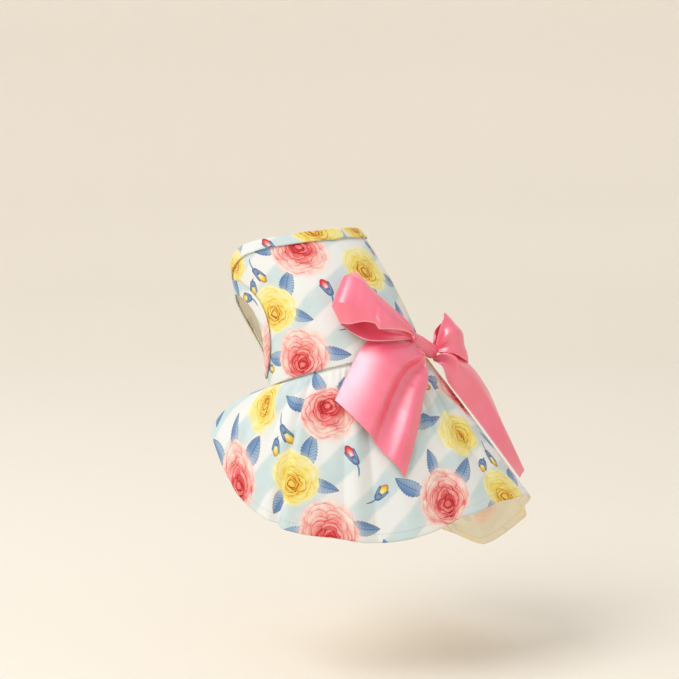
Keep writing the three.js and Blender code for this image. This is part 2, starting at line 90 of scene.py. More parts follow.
# The hem. flare is a share of the skirt's flare, drop of its length, and stand says how squarely the
# cloth stands out before it falls: 0.5 is straight.
HEM = table(
    "turn flare drop stand",
    (-115, 0.74, 0.885, 0.5),
    (-95, 0.94, 1.025, 0.5),
    (-74, 1.0, 1.115, 0.5),
    (-55, 1.16, 0.955, 0.5),
    (-34, 1.23, 0.765, 0.5),
    (-15, 1.1, 0.755, 0.5),
    (0, 1.02, 0.795, 0.5),
    (17, 0.94, 0.865, 0.52),
    (33, 0.88, 0.885, 0.54),
    (48, 0.86, 0.835, 0.56),
    (62, 0.86, 0.785, 0.6),
    (77, 0.87, 0.685, 0.66),
    (87, 0.84, 0.575, 0.7),
    (98, 0.82, 0.415, 0.75),
    (108, 0.81, 0.225, 0.8),
)

# The skirt's pleats. Each is a lip at turn, spread degrees wide, that drops away on its left side
# over edge degrees. depth is a share of the pleats' depth.
PLEATS = table(
    "turn spread edge depth",
    (-100, 11, 7, 0.6),
    (-78, 12, 8, 0.7),
    (-52, 12, 8, 0.75),
    (-20, 9, 6, 0.55),
    (-2, 9, 6, 0.7),
    (22, 11, 7, 0.45),
    (45, 10, 7, 0.35),
    (68, 12, 4, 0.8),
    (93, 9, 7, 0.35),
)

# Sharp creases pressed into the skirt by its gathers. Each is a valley at turn, width degrees to a
# side, depth millimetres deep, that shows from one share of the skirt's length to another.
CREASES = table(
    "turn width depth start end",
    (-107, 2.5, 2.16, 0, 0.8),
    (-93, 2.5, 1.89, 0.1, 1.2),
    (-84, 2, 2.16, 0, 0.6),
    (-68, 2.5, 2.565, 0, 0.9),
    (-58, 2, 1.89, 0, 0.5),
    (-44, 3, 2.7, 0.1, 1.2),
    (-30, 2.2, 2.16, 0, 0.7),
    (-16, 1.8, 3.78, 0.05, 0.85),
    (-8, 2, 1.62, 0, 0.4),
    (-1.5, 1.8, 3.78, 0, 0.8),
    (9, 2, 1.89, 0, 0.5),
    (17, 2.5, 1.89, 0, 0.75),
    (27, 2, 1.755, 0, 0.5),
    (34, 3, 2.295, 0.3, 1.3),
    (46, 2.5, 2.43, 0.1, 1.1),
    (57, 2, 2.025, 0, 0.55),
    (70.5, 1.8, 3.51, 0, 1.3),
    (81, 2, 2.025, 0, 0.7),
    (93, 2.5, 2.43, 0.2, 1.2),
    (102, 2, 1.755, 0, 0.8),
)

# Soft dents in the bodice: where each is, how far it spreads round and up, how its line slants in
# degrees of turn for the whole height, and its depth in millimetres
DENTS = table(
    "turn up across tall slant depth",
    (52, 0.14, 24, 0.035, 160, 1.1),
    (30, 0.3, 30, 0.045, 240, 0.9),
    (70, 0.5, 12, 0.06, 120, 1.0),
    (-20, 0.55, 26, 0.05, -220, 1.0),
    (-58, 0.2, 24, 0.04, -160, 1.1),
    (-72, 0.5, 12, 0.06, -120, 1.0),
    (12, 0.72, 34, 0.05, 90, 0.8),
    (165, 0.4, 22, 0.06, 60, 0.9),
    (195, 0.62, 22, 0.06, -60, 0.9),
    (180, 0.18, 30, 0.05, 0, 0.8),
)

# The bow's ribbons, a row for each section from the knot outwards. turn and fall say where each edge
# lies: degrees round from the back, and a share of the skirt's length below the waist seam. lift is a
# share of the bow's lift, and arch bows the section's middle out by a share of it.
RIBBON_COLUMNS = "top_turn top_fall top_lift low_turn low_fall low_lift arch"
LEFT_LOOP = table(
    RIBBON_COLUMNS,
    (4.1, -0.113, 0.9, 8.7, -0.069, 0.95, 0.05),
    (10.4, -0.182, 0.9, 16.9, -0.086, 1.0, 0.1),
    (15.8, -0.254, 0.85, 24.8, -0.098, 1.0, 0.15),
    (18.5, -0.329, 0.74, 34.4, -0.133, 0.9, 0.25),
    (19, -0.367, 0.56, 41, -0.161, 0.7, 0.45),
    (17, -0.364, 0.4, 38.7, -0.141, 0.45, 0.25),
    (10, -0.25, 0.34, 28.7, -0.074, 0.44, 0.05),
    (1.5, -0.135, 0.45, 10.8, -0.05, 0.54, 0),
)
RIGHT_LOOP = table(
    RIBBON_COLUMNS,
    (-30, -0.11, 1.1, -31, 0.05, 0.88, 0.1),
    (-31.5, -0.13, 1.17, -34, 0.12, 0.98, 0.2),
    (-35, -0.139, 1.21, -38, 0.175, 1.06, 0.2),
    (-40, -0.128, 1.16, -43, 0.16, 1.03, 0.15),
    (-41, -0.112, 0.98, -44, 0.09, 0.85, 0.05),
    (-36, -0.095, 0.8, -38, 0.05, 0.68, 0),
    (-32.5, -0.078, 0.66, -34, 0.025, 0.55, 0),
    (-31.5, -0.065, 0.6, -32, 0.01, 0.48, 0),
)
LEFT_TAIL = table(
    RIBBON_COLUMNS,
    (0, -0.046, 0.26, -3.4, 0.006, 0.72, 0.05),
    (4, -0.058, 0.2, -4, 0.04, 0.66, 0.15),
    (13.7, -0.072, 0.14, -4.1, 0.149, 0.5, 0.32),
    (24.7, -0.078, 0.1, -2.7, 0.209, 0.35, 0.43),
    (32.4, -0.05, 0.1, 0.3, 0.291, 0.2, 0.55),
    (42.2, 0.014, 0.08, 8.9, 0.427, 0.1, 0.55),
    (47.9, 0.136, 0.06, 15.6, 0.557, 0.06, 0.45),
    (51.4, 0.221, 0.06, 21.2, 0.684, 0.06, 0.35),
)
RIGHT_TAIL = table(
    RIBBON_COLUMNS,
    (-31.5, 0.045, 0.6, -25, 0.122, 0.3, 0.2),
    (-34, 0.095, 0.76, -26, 0.212, 0.14, 0.4),
    (-39, 0.19, 1.05, -28.7, 0.332, 0.1, 0.35),
    (-46, 0.34, 1.2, -33, 0.476, 0.07, 0.25),
    (-49.5, 0.52, 0.95, -33, 0.66, 0.06, 0.2),
    (-51, 0.76, 0.6, -36, 0.88, 0.06, 0.15),
)

# The knot's fullness from its left end to its right one, in shares of its length and thickness
KNOT = table(
    "along size", (-0.5, 0.8), (-0.4, 0.93), (-0.15, 1.0), (0.15, 0.98), (0.4, 0.95), (0.5, 0.84)
)

# Where a ribbon's upper and lower edges meet the knot's end: how far up as a share of the knot's
# height, and how far out as a share of its depth
LOOP_START = ((0.42, 0.2), (-0.05, 0.36))
LOOP_RETURN = ((0.36, -0.12), (-0.04, 0.04))
TAIL_START = ((-0.26, -0.1), (-0.52, -0.05))

# How finely the pieces are meshed, in cells: round the dress or along a ribbon first, then across
BODICE_ROWS = 130
BACK_COLUMNS, CHEST_COLUMNS = 240, 90
ARM_BAND_CELLS = (180, 16)
NECK_BAND_CELLS = (300, 12)
SKIRT_CELLS = (370, 123)
LOOP_CELLS = (220, 80)
TAIL_CELLS = (180, 120)
KNOT_CELLS = (40, 96)


def length_of(default_mm, name, description):
    """A length property in metres, with its default given in millimetres."""
    return bpy.props.FloatProperty(
        name=name, description=description, default=default_mm * MM, precision=4, unit="LENGTH"
    )


def angle_of(default_degrees, name, description):
    """An angle property, with its default given in degrees."""
    return bpy.props.FloatProperty(
        name=name, description=description, default=math.radians(default_degrees), unit="ROTATION"
    )


def linear(hex_colour):
    """An sRGB hex colour as linear numbers."""
    channels = [int(hex_colour[i : i + 2], 16) / 255 for i in (1, 3, 5)]
    return tuple(c / 12.92 if c <= 0.04045 else ((c + 0.055) / 1.055) ** 2.4 for c in channels)


def paint(hex_colour):
    """An sRGB hex colour as a socket's colour."""
    return (*linear(hex_colour), 1)


def colour_of(default_hex, name, description):
    """A colour property, with its default given as an sRGB hex value."""
    return bpy.props.FloatVectorProperty(
        name=name, description=description, default=linear(default_hex), subtype="COLOR", size=3,
        min=0, max=1,
    )


class DressSizes(bpy.types.PropertyGroup):
    """The dress's sizes."""

    waist_width: length_of(134, "Waist width", "Side to side at the waist seam")
    waist_depth: length_of(136, "Waist depth", "Back to belly at the waist seam")
    bodice_length: length_of(124, "Bodice length", "Waist seam to strap top, along the back")
    skirt_length: length_of(155, "Skirt length", "Waist seam to hem")
    skirt_flare: length_of(75, "Skirt flare", "How far the hem stands out beyond the waist")
    pleat_depth: length_of(7, "Pleat depth", "How far a pleat's lip stands out")
    armhole_height: length_of(88, "Armhole height", "Top to bottom, along the cloth")
    armhole_width: length_of(60, "Armhole width", "Front to back, along the cloth")
    armhole_rise: length_of(66, "Armhole rise", "Waist seam to the armhole's middle")
    arm_band_width: length_of(11, "Arm band width", "Width of the band round each armhole")
    neck_band_width: length_of(9, "Neck band width", "Width of the band round the neck")
    bow_lift: length_of(24, "Bow lift", "How far the loops stand off the bodice")
    knot_length: length_of(34, "Knot length", "End to end")
    knot_height: length_of(14, "Knot height", "Across the knot")
    knot_depth: length_of(12, "Knot depth", "How far the knot stands out")
    knot_rise: length_of(3, "Knot rise", "How far the knot sits above the waist seam")
    side_seam_turn: angle_of(132, "Side seam", "Where the back and chest panels meet")
    knot_turn: angle_of(-17, "Knot turn", "Where the knot sits, round from the back's middle")
    knot_slope: angle_of(26, "Knot slope", "How far the knot's right end hangs down")


class DressColours(bpy.types.PropertyGroup):
    """The dress's colours."""

    ground: colour_of("#f3f6f7", "Ground", "The cotton's white ground")
    stripe: colour_of("#cfe4e8", "Stripe", "The pale watercolour stripes")
    satin: colour_of("#f4778f", "Satin", "The bow's satin")
    floor: colour_of("#f3ece0", "Floor", "The floor and the backdrop")


# A cloth piece's cut: the width and length of its rectangle in millimetres, the area left of it in
# square millimetres, how it is held and what it rests on. No piece here is given one.
Cut = namedtuple("Cut", "width length area held rests_on")

# Cloth walls as they are seen, inside the solids' walls
COTTON_WALL = 0.9 * MM
HEM_WALL = 1.4 * MM
BAND_WALL = 1.1 * MM
SATIN_WALL = 0.7 * MM
SOLID_WALL = 1.5 * MM
BAND_LIFT = 0.45 * MM
BAND_SOLID_WALL = 1.2 * MM
BAND_OVERHANG = 1.5 * MM
PIECE_GAP = 0.3 * MM
SKIRT_TUCK = 5 * MM
TUCK_ROOM = 0.5 * MM
WAIST_DROP = 1.5 * MM
SKIRT_LEFT_END, SKIRT_RIGHT_END = 108, -115
KNOT_STAND = 0.8 * MM
LOOP_ROOM = {"left": 0.7 * MM, "right": 2.1 * MM}
TAIL_ROOM = {"left": 1.3 * MM, "right": 2.2 * MM}
RIBBON_GATHERS = 2
GATHER_DEPTH = 2.2 * MM
HEM_WIDTH = 9 * MM
# How high the ridges beside a crease rise, as a share of its depth
CREASE_RIDGE = 0.35
# The puckers of the waist seam, one to each 5.5 degrees
PUCKER_DEPTH = 0.5 * MM
PUCKER_RATE = TAU / 5.5


def sizes():
    return bpy.context.scene.dress_sizes


def colours():
    return bpy.context.scene.dress_colours


def smooth(value, low, high):
    """0 below low, 1 above high, and a smooth step between them."""
    t = np.clip((value - low) / (high - low), 0, 1)
    return t * t * (3 - 2 * t)


def swell(value, start, full, fading, end):
    """0 outside a stretch and 1 in its middle, with a smooth step at each end."""
    return smooth(value, start, full) * (1 - smooth(value, fading, end))


def lerp(start, end, share):
    return start + (end - start) * share


def hump(value, middle, spread):
    return np.exp(-(((value - middle) / spread) ** 2))


def unit(vectors):
    return vectors / np.maximum(np.linalg.norm(vectors, axis=-1, keepdims=True), 1e-12)


def curve(rows, key, at, name):
    """A smooth curve through one column of a table, flat beyond its ends."""
    keys, values = rows[key], rows[name]
    at = np.asarray(at, float)
    last = len(keys) - 1
    i = np.clip(np.searchsorted(keys, at) - 1, 0, last - 1)
    before, after = np.maximum(i - 1, 0), np.minimum(i + 2, last)
    span = keys[i + 1] - keys[i]
    t = np.clip((at - keys[i]) / span, 0, 1)
    slope_in = (values[i + 1] - values[before]) / (keys[i + 1] - keys[before]) * span
    slope_out = (values[after] - values[i]) / (keys[after] - keys[i]) * span
    rise = t * t * (3 - 2 * t)
    bend = t * (1 - t) * ((1 - t) * slope_in - t * slope_out)
    return lerp(values[i], values[i + 1], rise) + bend


def spine_at(up):
    """The middle of the bodice at a height up its curved back, and the back's lean there."""
    steps = 24
    step = up * sizes().bodice_length / steps
    y = np.zeros_like(up)
    z = np.zeros_like(up)
    for i in range(steps):
        lean = np.radians(curve(BODICE_FORM, "up", up * (i + 0.5) / steps, "lean"))
        y = y + np.sin(lean) * step
        z = z + np.cos(lean) * step
    return y, z, np.radians(curve(BODICE_FORM, "up", up, "lean"))


def on_bodice(turn, up, out):
    """Points out from the bodice's form, turn degrees round from the back."""
    turn, up, out = np.broadcast_arrays(*(np.asarray(v, float) for v in (turn, up, out)))
    spine_y, spine_z, lean = spine_at(up)
    around = np.radians(turn)
    side = curve(BODICE_FORM, "up", up, "width") * sizes().waist_width / 2 + out
    depth = np.where(
        np.cos(around) > 0, curve(BODICE_FORM, "up", up, "back"), curve(BODICE_FORM, "up", up, "belly")
    )
    forward = -np.cos(around) * (depth * sizes().waist_depth / 2 + out)
    return np.stack(
        [-np.sin(around) * side, spine_y + forward * np.cos(lean), spine_z - forward * np.sin(lean)],
        axis=-1,
    )


def pleat_at(turn, down):
    """How far the pleats push the skirt out or in."""
    grown = smooth(down, 0.02, 0.4)
    total = np.zeros(np.broadcast(turn, down).shape)
    for at, spread, edge, depth in zip(*PLEATS.values()):
        dropped = smooth(turn - at, 0, edge)
        total = total + depth * sizes().pleat_depth * grown * hump(turn, at, spread) * (0.5 - dropped)
    return total


def on_skirt(turn, down, out=0.0):
    """Points on the skirt, which leaves the waist, stands out and falls to the hem."""
    turn, down = np.broadcast_arrays(np.asarray(turn, float), np.asarray(down, float))
    waist = on_bodice(turn, -WAIST_DROP / sizes().bodice_length, 0)
    waist_reach = np.hypot(waist[..., 0], waist[..., 1])
    hem_reach = waist_reach + curve(HEM, "turn", turn, "flare") * sizes().skirt_flare
    hem_height = waist[..., 2] - curve(HEM, "turn", turn, "drop") * sizes().skirt_length
    stand = curve(HEM, "turn", turn, "stand")
    bend_reach = lerp(waist_reach, hem_reach, stand)
    bend_height = lerp(hem_height, waist[..., 2], stand)
    start, middle, end = (1 - down) ** 2, 2 * down * (1 - down), down**2
    reach = start * waist_reach + middle * bend_reach + end * hem_reach
    height = start * waist[..., 2] + middle * bend_height + end * hem_height
    reach = reach + pleat_at(turn, down) + out
    heading = lerp(np.arctan2(-waist[..., 0], -waist[..., 1]), np.radians(turn), down)
    return np.stack([-np.sin(heading) * reach, -np.cos(heading) * reach, height], axis=-1)


def on_dress(turn, fall, lift):
    """One point that lies lift over the dress: on the bodice where fall is negative, else the skirt."""
    if fall < 0:
        up = -fall * sizes().skirt_length / sizes().bodice_length
        return on_bodice(turn, up, SOLID_WALL + lift)
    nudge = 0.01
    here = on_skirt(turn, fall)
    around = on_skirt(turn + 1, fall) - on_skirt(turn - 1, fall)
    down = on_skirt(turn, fall + nudge) - here
    skirt_out = unit(np.cross(around, down))
    bodice_out = unit(on_bodice(turn, 0, MM) - on_bodice(turn, 0, 0))
    outward = unit(lerp(bodice_out, skirt_out, smooth(fall, 0, 0.2)))
    return here + outward * (SOLID_WALL + lift)


def neckline_at(turn):
    return curve(NECKLINE, "turn", np.abs((np.asarray(turn) + 180) % 360 - 180), "up")


def strand(points, shares):
    """Points along a centripetal curve through some points, at shares of its length in rows."""
    points = np.array(points)
    padded = np.concatenate([[2 * points[0] - points[1]], points, [2 * points[-1] - points[-2]]])
    at = np.clip(shares, 0, 1) * (len(points) - 1)
    i = np.minimum(at.astype(int), len(points) - 2)
    t = (at - i)[..., None]
    p0, p1, p2, p3 = (padded[i + k] for k in range(4))
    d0, d1, d2 = (
        np.sqrt(np.linalg.norm(b - a, axis=-1, keepdims=True)) for a, b in ((p0, p1), (p1, p2), (p2, p3))
    )
    start = ((p1 - p0) / d0 - (p2 - p0) / (d0 + d1) + (p2 - p1) / d1) * d1
    end = ((p2 - p1) / d1 - (p3 - p1) / (d1 + d2) + (p3 - p2) / d2) * d1
    cubic = 2 * p1 - 2 * p2 + start + end
    square = -3 * p1 + 3 * p2 - 2 * start - end
    return p1 + t * (start + t * (square + t * cubic))


def grid_normals(points, looped):
    """Outward directions at a grid of points, in rows."""
    if looped:
        along = np.roll(points, -1, axis=1) - np.roll(points, 1, axis=1)
    else:
        along = np.gradient(points, axis=1)
    return unit(np.cross(along, np.gradient(points, axis=0)))


def smooth_mesh(name, points, faces):
    """A mesh with smooth shading."""
    mesh = bpy.data.meshes.new(name)
    mesh.from_pydata(points, [], faces)
    mesh.polygons.foreach_set("use_smooth", [True] * len(faces))
    return mesh


def give(mesh, name, values, domain="POINT"):
    """Gives a mesh an attribute: a vector, or else a number, for each point or corner."""
    kind, key = ("FLOAT_VECTOR", "vector") if values.ndim > 1 else ("FLOAT", "value")
    layer = mesh.attributes.new(name, kind, domain)
    layer.data.foreach_set(key, values.reshape(-1).astype(np.float32))


def cloth_mesh(name, middle, wall, flat, looped=False, kept=None, edge=None):
    """A closed cloth wall round a grid of middle points. flat is the cloth's flat pattern in metres,
    kept marks the cells that the cloth has and edge is the distance to its nearest hem."""
    rows, columns = middle.shape[:2]
    normals = grid_normals(middle, looped)
    half = (np.zeros((rows, columns)) + wall)[..., None] / 2
    points = np.concatenate([middle + normals * half, middle - normals * half]).reshape(-1, 3)
    count = rows * columns
    ids = np.arange(count).reshape(rows, columns)
    if looped:
        ids = np.concatenate([ids, ids[:, :1]], axis=1)
    quads = np.stack([ids[:-1, :-1], ids[:-1, 1:], ids[1:, 1:], ids[1:, :-1]], axis=-1).reshape(-1, 4)
    if kept is not None:
        quads = quads[kept.reshape(-1)]
    starts, ends = quads.reshape(-1), np.roll(quads, -1, axis=1).reshape(-1)
    open_edges = ~np.isin(starts * count + ends, ends * count + starts)
    a, b = starts[open_edges], ends[open_edges]
    rim = np.stack([b, a, a + count, b + count], axis=-1)
    faces = np.concatenate([quads, quads[:, ::-1] + count, rim])
    used, faces = np.unique(faces, return_inverse=True)
    mesh = smooth_mesh(name, points[used].tolist(), faces.reshape(-1, 4).tolist())
    # The cloth's own places, the same on both faces, with 1 as the third number on the reverse
    cloth = np.zeros((2, count, 3))
    cloth[..., :2] = flat.reshape(count, 2)
    cloth[1, :, 2] = 1
    give(mesh, "cloth", cloth.reshape(-1, 3)[used])
    to_edge = np.ones((rows, columns)) if edge is None else edge * np.ones((rows, columns))
    give(mesh, "edge", np.tile(to_edge.reshape(-1), 2)[used])
    return mesh


def rounded(distance, wall):
    """How full the cloth's wall is at a distance from its cut edge."""
    share = np.clip(distance / (wall / 2), 0, 1)
    return np.sqrt(np.maximum(1 - (1 - share) ** 2, 0.12))


def piece(name, node, mesh, material):
    """A piece of the dress that stands for a solid of the frame."""
    made = bpy.data.objects.new(name, mesh)
    bpy.context.scene.collection.objects.link(made)
    mesh.materials.append(material)
    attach(made, BODY)
    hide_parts(node)
    return made


def add(tree, kind, inputs=(), stops=(), **settings):
    """Adds a node. kind is its type, or its type with settings. inputs, by place or name, are numbers,
    sockets, or nodes whose first output counts. stops are a colour ramp's places and hex colours."""
    node_type, presets = (kind, {}) if isinstance(kind, str) else kind
    node = tree.nodes.new(node_type)
    for name, value in {**presets, **settings}.items():
        setattr(node, name, value)
    for i, (place, hex_colour) in enumerate(stops):
        made = node.color_ramp.elements[i] if i < 2 else node.color_ramp.elements.new(place)
        made.position = place
        made.color = paint(hex_colour)
    for key, value in inputs.items() if isinstance(inputs, dict) else enumerate(inputs):
        if isinstance(value, bpy.types.Node):
            value = next(socket for socket in value.outputs if socket.enabled)
        if isinstance(value, bpy.types.NodeSocket):
            tree.links.new(value, node.inputs[key])
        elif value is not None:
            node.inputs[key].default_value = value
    return node


def new_material(name):
    """A material and its empty tree."""
    material = bpy.data.materials.new(name)
    material.use_nodes = True
    material.node_tree.nodes.clear()
    return material, material.node_tree


# The nodes' types, and the sums that they do
PLUS, MINUS, TIMES, TIMES_PLUS, OVER, POWER, LEAST, MOST, SIZE, FRACTION = (
    ("ShaderNodeMath", {"operation": sum_name})
    for sum_name in (
        "ADD", "SUBTRACT", "MULTIPLY", "MULTIPLY_ADD", "DIVIDE", "POWER", "MINIMUM", "MAXIMUM",
        "ABSOLUTE", "FRACT",
    )
)
SINE, COSINE, EXPONENT, DIRECTION, ABOVE = (
    ("ShaderNodeMath", {"operation": sum_name})
    for sum_name in ("SINE", "COSINE", "EXPONENT", "ARCTAN2", "GREATER_THAN")
)
VECTOR_PLUS, VECTOR_MINUS, VECTOR_TIMES, VECTOR_LENGTH, VECTOR_DOT = (
    ("ShaderNodeVectorMath", {"operation": sum_name})
    for sum_name in ("ADD", "SUBTRACT", "MULTIPLY", "LENGTH", "DOT_PRODUCT")
)
RANGE = "ShaderNodeMapRange"
SOFT_RANGE = (RANGE, {"interpolation_type": "SMOOTHSTEP"})
MIX = "ShaderNodeMix"
COLOUR_MIX = (MIX, {"data_type": "RGBA"})
NOISE = "ShaderNodeTexNoise"
RAMP = "ShaderNodeValToRGB"
SPLIT = "ShaderNodeSeparateXYZ"
JOIN = "ShaderNodeCombineXYZ"
GIVEN = "ShaderNodeAttribute"
OUTPUT = "ShaderNodeOutputMaterial"

# The rose's rings of petals, from the outside in. radius and the centre are shares of the rose's
# radius, scallop is how deeply the ring's edge is lobed, and depth is how far down its colours.
PETAL_RINGS = table(
    "radius petals scallop turn seed_turn right up depth",
    (0.98, 5, 0.13, 0.35, 0.0, 0.0, 0.0, 0.02),
    (0.86, 4, 0.17, 1.4, 1.7, 0.02, -0.03, 0.06),
    (0.74, 5, 0.15, 0.2, 3.4, -0.03, -0.08, 0.12),
    (0.63, 4, 0.18, 2.3, 0.0, 0.03, -0.12, 0.2),
    (0.53, 4, 0.2, 0.9, 1.7, -0.04, -0.15, 0.36),
    (0.43, 3, 0.22, 2.0, 3.4, 0.04, -0.2, 0.3),
    (0.345, 4, 0.22, 0.4, 0.0, -0.01, -0.21, 0.56),
    (0.265, 3, 0.24, 1.6, 1.7, -0.03, -0.26, 0.42),
    (0.19, 3, 0.26, 2.8, 3.4, 0.03, -0.25, 0.7),
    (0.12, 2, 0.3, 0.5, 0.0, 0.0, -0.27, 0.5),
)
PINK_ROSE = (
    (0, "#fef1ea"), (0.14, "#fbdcd3"), (0.32, "#f7b3ac"),
    (0.52, "#ef7c7a"), (0.76, "#e2434a"), (1, "#b3242c"),
)
YELLOW_ROSE = (
    (0, "#fdf9d6"), (0.14, "#fbf3b2"), (0.36, "#f8e880"),
    (0.6, "#f4d455"), (0.82, "#e6a632"), (1, "#b4541f"),
)
LEAF_BLUES = ((0, "#a9c4e0"), (1, "#6f97c6"))
CUP_BLUES = ((0.3, "#86a6ca"), (1, "#3c5b92"))
SATIN_PINKS = ((0.3, "#f9466e"), (0.7, "#ff6486"))

# The print's repeat, in millimetres, with each second repeat across dropped by half
REPEAT_WIDTH, REPEAT_HEIGHT = 176, 150
ROSES = table(
    "x y radius turn kind seed",
    (34, 36, 24.5, 10, 1, 0.1),
    (98, 22, 22, -30, 2, 0.6),
    (146, 62, 24, 160, 1, 0.3),
    (76, 80, 21, 60, 2, 0.2),
    (22, 112, 23, -60, 2, 0.5),
    (108, 124, 25, -15, 1, 0.8),
)
SPRIGS = table(
    "x y radius turn kind seed",
    (61, 49, 15, 32, 1, 0.8),
    (10, 60, 14, 128, 1, 0.2),
    (36, 66, 12, 78, 1, 0.7),
    (76, 8, 14, 205, 1, 0.9),
    (122, 38, 14, 55, 1, 0.3),
    (120, 8, 12, -40, 1, 0.6),
    (171, 82, 14, 40, 1, 0.7),
    (120, 78, 13, 150, 1, 0.4),
    (150, 92, 12, 95, 1, 0.2),
    (49, 100, 14, -10, 1, 0.85),
    (80, 132, 14, 165, 1, 0.1),
    (138, 118, 13, -25, 1, 0.6),
    (12, 88, 12, 250, 1, 0.3),
    (101, 58, 13, 285, 2, 0.2),
    (90, 50, 11, 240, 2, 0.3),
    (152, 22, 13, 100, 2, 0.7),
    (48, 136, 13, 300, 2, 0.6),
    (62, 128, 11, 330, 2, 0.2),
    (160, 138, 12, 30, 2, 0.1),
)
# Where a face that no motif covers lies, in radii
BEYOND_MOTIFS = 9
STRIPE_REPEAT = 37 * MM
STRIPE_RISE = 25
LEAF_TEETH = 5


def petal_ring():
    """A node group that draws one ring of petals over those outside it: a scalloped edge, a light
    rim, creases between the petals, a soft shadow on those behind and an inked outline."""
    name = "Ring of rose petals"
    if name in bpy.data.node_groups:
        return bpy.data.node_groups[name]
    tree = bpy.data.node_groups.new(name, "ShaderNodeTree")
    for socket in ("Place", "Centre"):
        tree.interface.new_socket(socket, in_out="INPUT", socket_type="NodeSocketVector")
    numbers = ("Seed", "Tone", "Ink", "Radius", "Half petals", "Scallop", "Turn", "Seed turn", "Depth")
    for socket in numbers:
        tree.interface.new_socket(socket, in_out="INPUT", socket_type="NodeSocketFloat")
    for socket in ("Tone", "Ink", "Inside"):
        tree.interface.new_socket(socket, in_out="OUTPUT", socket_type="NodeSocketFloat")
    given = add(tree, "NodeGroupInput").outputs
    radius, scallop = given["Radius"], given["Scallop"]
    place = add(tree, VECTOR_MINUS, (given["Place"], given["Centre"]))
    reach = add(tree, VECTOR_LENGTH, (place,))
    split = add(tree, SPLIT, (place,))
    around = add(tree, DIRECTION, (split.outputs["Y"], split.outputs["X"]))
    turned = add(tree, TIMES_PLUS, (given["Seed"], given["Seed turn"], given["Turn"]))
    turned = add(tree, PLUS, (turned, around))
    wave = add(tree, TIMES, (turned, given["Half petals"]))
    wave = add(tree, SIZE, (add(tree, COSINE, (wave,)),))
    lobe = add(tree, POWER, (wave, 0.6))
    notch = add(tree, MINUS, (1.0, lobe))
    bite = add(tree, TIMES, (notch, scallop))
    full = add(tree, MINUS, (1.0, bite))
    edge = add(tree, TIMES, (full, radius))
    beyond = add(tree, MINUS, (reach, edge))
    inside = add(tree, SOFT_RANGE, (beyond, -0.006, 0.006, 1.0, 0.0))
    softness = add(tree, TIMES_PLUS, (radius, -0.08, -0.03))
    outer = add(tree, MOST, (beyond, 0.0))
    shade = add(tree, EXPONENT, (add(tree, OVER, (outer, softness)),))
    behind = add(tree, TIMES_PLUS, (shade, 0.22, given["Tone"]))
    inner = add(tree, TIMES, (add(tree, LEAST, (beyond, 0.0)), -4.0))
    light = add(tree, EXPONENT, (add(tree, OVER, (inner, softness)),))
    cup = add(tree, OVER, (reach, radius))
    cup = add(tree, SOFT_RANGE, (cup, 0.55, 0.95, 0.0, 0.25))
    crease = add(tree, POWER, (notch, 3.0))
    lit = add(tree, TIMES_PLUS, (light, -0.12, given["Depth"]))
    petal = add(tree, TIMES_PLUS, (crease, cup, lit))
    tone = add(tree, MIX, {"Factor": inside, "A": behind, "B": petal})
    line = add(tree, SIZE, (add(tree, PLUS, (beyond, -0.004)),))
    line = add(tree, SOFT_RANGE, (line, 0.0, 0.02, 1.0, 0.0))
    broken = add(tree, TIMES_PLUS, (around, 2.3, turned))
    broken = add(tree, SINE, (broken,))
    broken = add(tree, SOFT_RANGE, (broken, -0.4, 0.8, 0.35, 1.0))
    strength = add(tree, TIMES_PLUS, (given["Depth"], 1.1, 0.16))
    strength = add(tree, TIMES, (strength, broken))
    line = add(tree, TIMES, (line, strength))
    covered = add(tree, MIX, {"Factor": inside, "A": given["Ink"], "B": 0.0})
    ink = add(tree, MOST, (line, covered))
    add(tree, "NodeGroupOutput", {"Tone": tone, "Ink": ink, "Inside": inside})
    return tree


def motif(tree, attribute):
    """Where a point lies in the motif that covers it: (place, x, y, is the second kind, seed). The
    place's third number is the motif's kind, 1 or 2, plus its seed."""
    given = add(tree, GIVEN, attribute_name=attribute)
    split = add(tree, SPLIT, (given.outputs["Vector"],))
    second = add(tree, ABOVE, (split.outputs["Z"], 2.0))
    seed = add(tree, FRACTION, (split.outputs["Z"],))
    return given.outputs["Vector"], split.outputs["X"], split.outputs["Y"], second, seed


